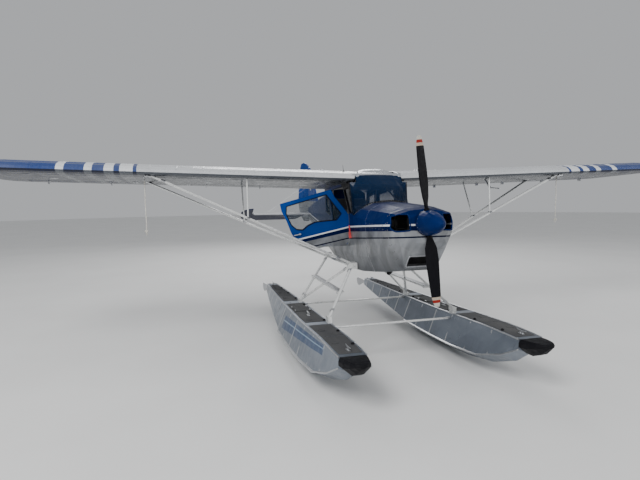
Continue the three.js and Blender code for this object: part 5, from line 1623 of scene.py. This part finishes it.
def make_tag():
    """A red ribbon that hangs from the cabin's side."""
    tag = Piece("red_tag", "red")
    wall = Surface("cabin_side_right")
    starts = [at(1.668 + 0.003 * math.sin(i), -0.9, -0.105 - 0.19 * i / 11) for i in range(12)]
    strip = [(p - Vector((0, 0.022, 0)), Vector((0.8, -0.6, 0.06 * math.sin(i)))) for i, (p, _) in enumerate(
        wall.spots(starts, (0, 1, 0)))]
    tag.ribbon(strip, 0.022, 0.003)
    tag.ribbon(strip[6:], 0.042, 0.004)
    tag.done(40)


def make_antenna():
    antenna = Piece("antenna", "black")
    base, normal = Surface("wing_right").hit(at(1.80, -0.470, OVERHEAD), DOWN)
    antenna.turned(((-0.002, 0.016), (0.006, 0.016), (0.012, 0.008), (0.02, 0.004)), base, normal, 16)
    antenna.tube([base + normal * 0.015, base + Vector((-0.03, 0, 0.10))], [0.003, 0.0016], 8)
    antenna.done(50)


for make in (make_window_frames, make_windshield_rim, make_crown, make_windshield_seal, make_dials, make_glare_shield,
             make_cabin_tubes, make_cabin_floor, make_sticks, make_door, make_tag, make_antenna):
    make()


# Seats: steel frame, and cushions swelled by a short cloth simulation
SWELL_FRAMES = 20


def swelled(piece, cap, channels, pressure=4.0, voxel=0.006):
    """Remesh, blow up with cloth pressure with growth held under cap, press in the sewn channels, subdivide.
    A channel is its axis, its place along it, its width and its depth."""
    remesh = piece.modifiers.new("remesh", "REMESH")
    remesh.mode, remesh.voxel_size = "VOXEL", voxel
    depsgraph = bpy.context.evaluated_depsgraph_get()
    solid = bpy.data.meshes.new_from_object(piece.evaluated_get(depsgraph))
    piece.modifiers.clear()
    piece.data = solid
    start = [vert.co.copy() for vert in solid.vertices]
    soft = piece.modifiers.new("cloth", "CLOTH")
    soft.settings.use_pressure = True
    soft.settings.uniform_pressure_force = pressure
    soft.settings.effector_weights.gravity = 0
    soft.point_cache.frame_start, soft.point_cache.frame_end = 1, SWELL_FRAMES
    for moment in range(1, SWELL_FRAMES + 1):
        bpy.context.scene.frame_set(moment)
    depsgraph = bpy.context.evaluated_depsgraph_get()
    blown = bpy.data.meshes.new_from_object(piece.evaluated_get(depsgraph))
    moved = [vert.co.copy() for vert in blown.vertices]
    piece.modifiers.clear()
    bpy.context.scene.frame_set(1)
    for vert, before, after in zip(solid.vertices, start, moved):
        shift = after - before
        vert.co = before + shift * min(1.0, cap / max(shift.length, 1e-6))
    solid.update()
    normals = [vert.normal.copy() for vert in solid.vertices]
    for vert, normal in zip(solid.vertices, normals):
        for axis, place, width, depth in channels:
            gap = vert.co[axis] - place
            vert.co -= normal * depth * math.exp(-(gap / width) ** 2)
    smooth = piece.modifiers.new("round", "SUBSURF")
    smooth.levels = smooth.render_levels = 1
    solid.shade_smooth()
    return piece


def cushion(name, low, high, channels, inset=0.012):
    """A padded cushion that fills the box from low to high when swelled."""
    middle, size = (low + high) / 2, high - low
    shape = bmesh.new()
    bmesh.ops.create_cube(shape, size=1, matrix=Matrix.Translation(middle) @ Matrix.Diagonal(
        (*(size - Vector((inset,) * 3) * 2), 1)))
    bmesh.ops.bevel(shape, geom=list(shape.edges), offset=0.016, segments=3, profile=0.6, affect="EDGES")
    data = bpy.data.meshes.new(name)
    shape.to_mesh(data)
    data.materials.append(M["seat"])
    piece = bpy.data.objects.new(name, data)
    bpy.context.scene.collection.objects.link(piece)
    swelled(piece, 0.022, channels)
    piece.data.materials.clear()
    piece.data.materials.append(M["seat"])
    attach(piece, "airframe")
    return piece


def make_seat(node, front, back, half, high):
    """A seat from front to back, half wide to each side, with its backrest up to high."""
    channels = [(1, y, 0.006, 0.008) for y in (-half * 0.5, 0, half * 0.5)]
    rear, fore = at(back, -half, 0), at(front, half, 0)
    box = lambda x, y, up: Vector((x, y, HUB_HEIGHT + up))
    seat = cushion(f"{node}_cushion", box(rear.x + 0.065, rear.y, -0.445), box(fore.x, fore.y, -0.345), channels)
    cushion(f"{node}_back", box(rear.x - 0.01, rear.y, -0.33), box(rear.x + 0.062, fore.y, high), channels)
    tubes = Piece(f"{node}_frame", "dark_metal", slot="black_paint")
    foot, knee, out = -0.675, -0.46, half - 0.035
    for side in (1, -1):
        tubes.tube(smooth_path([sided(side, aft, out, up) for aft, up in (
            (front + 0.03, foot), (front + 0.03, knee), (back - 0.02, knee), (back + 0.016, -0.40),
            (back + 0.02, high - 0.03))], 6), 0.011)
        tubes.tube([sided(side, back - 0.03, out, up) for up in (foot, knee)], 0.011)
        tubes.tube([sided(side, aft, out, foot) for aft in (front, back)], 0.009)
    for aft, up in ((front + 0.03, knee), (back - 0.03, knee), (back + 0.02, high - 0.04)):
        tubes.tube([at(aft, y, up) for y in (out, -out)], 0.009)
    tubes.done(40)
    belt = Piece(f"{node}_belt", "seat_edge")
    for side in (1, -1):
        belt.ribbon([(sided(side, back - ahead, half - inside, up), Vector(normal).normalized())
                     for ahead, inside, up, normal in (
                         (0.01, 0.05, high + 0.012, (0, 0, 1)), (0.078, 0.055, high - 0.01, (1, 0, 0.4)),
                         (0.092, 0.08, high - 0.25, (1, 0, 0)), (0.10, 0.13, -0.30, (1, 0, 0.2)),
                         (0.16, 0.15, -0.315, (0, 0, 1)))], 0.045, 0.0025)
    belt.done(40)
    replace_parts(seat, node)


make_seat("front_seat", 2.030, 2.450, 0.220, 0.190)
make_seat("rear_seat", 2.690, 3.040, 0.230, 0.120)


# Floor and light
def make_stage():
    paint = Paint("floor_paint", colour=(0.78, 0.78, 0.77), rough=0.75)
    paint.put("Base Color", paint.mix(paint.patches(0.6, 3, 0.3, 0.7), (0.76, 0.76, 0.75), (0.8, 0.8, 0.79)))
    shape = bmesh.new()
    bmesh.ops.create_circle(shape, cap_ends=True, segments=96, radius=60)
    mesh = bpy.data.meshes.new("floor")
    shape.to_mesh(mesh)
    floor = bpy.data.objects.new("floor", mesh)
    floor.location.z = -0.002
    mesh.materials.append(paint.material)
    bpy.context.scene.collection.objects.link(floor)
    world = bpy.data.worlds.new("studio")
    world.use_nodes = True
    background = world.node_tree.nodes["Background"]
    background.inputs["Color"].default_value = (0.92, 0.94, 0.97, 1)
    background.inputs["Strength"].default_value = 0.5
    bpy.context.scene.world = world
    for name, place, power, size in (("key", (11, -9, 11), 1900, 6.0), ("fill", (9, 12, 7), 700, 8.0),
                                     ("back", (-12, 2, 10), 800, 8.0)):
        data = bpy.data.lights.new(name, "AREA")
        data.energy, data.size = power, size
        light = bpy.data.objects.new(name, data)
        light.location = place
        light.rotation_euler = (Vector((0, 0, 1.5)) - Vector(place)).to_track_quat("-Z", "Y").to_euler()
        bpy.context.scene.collection.objects.link(light)


make_stage()
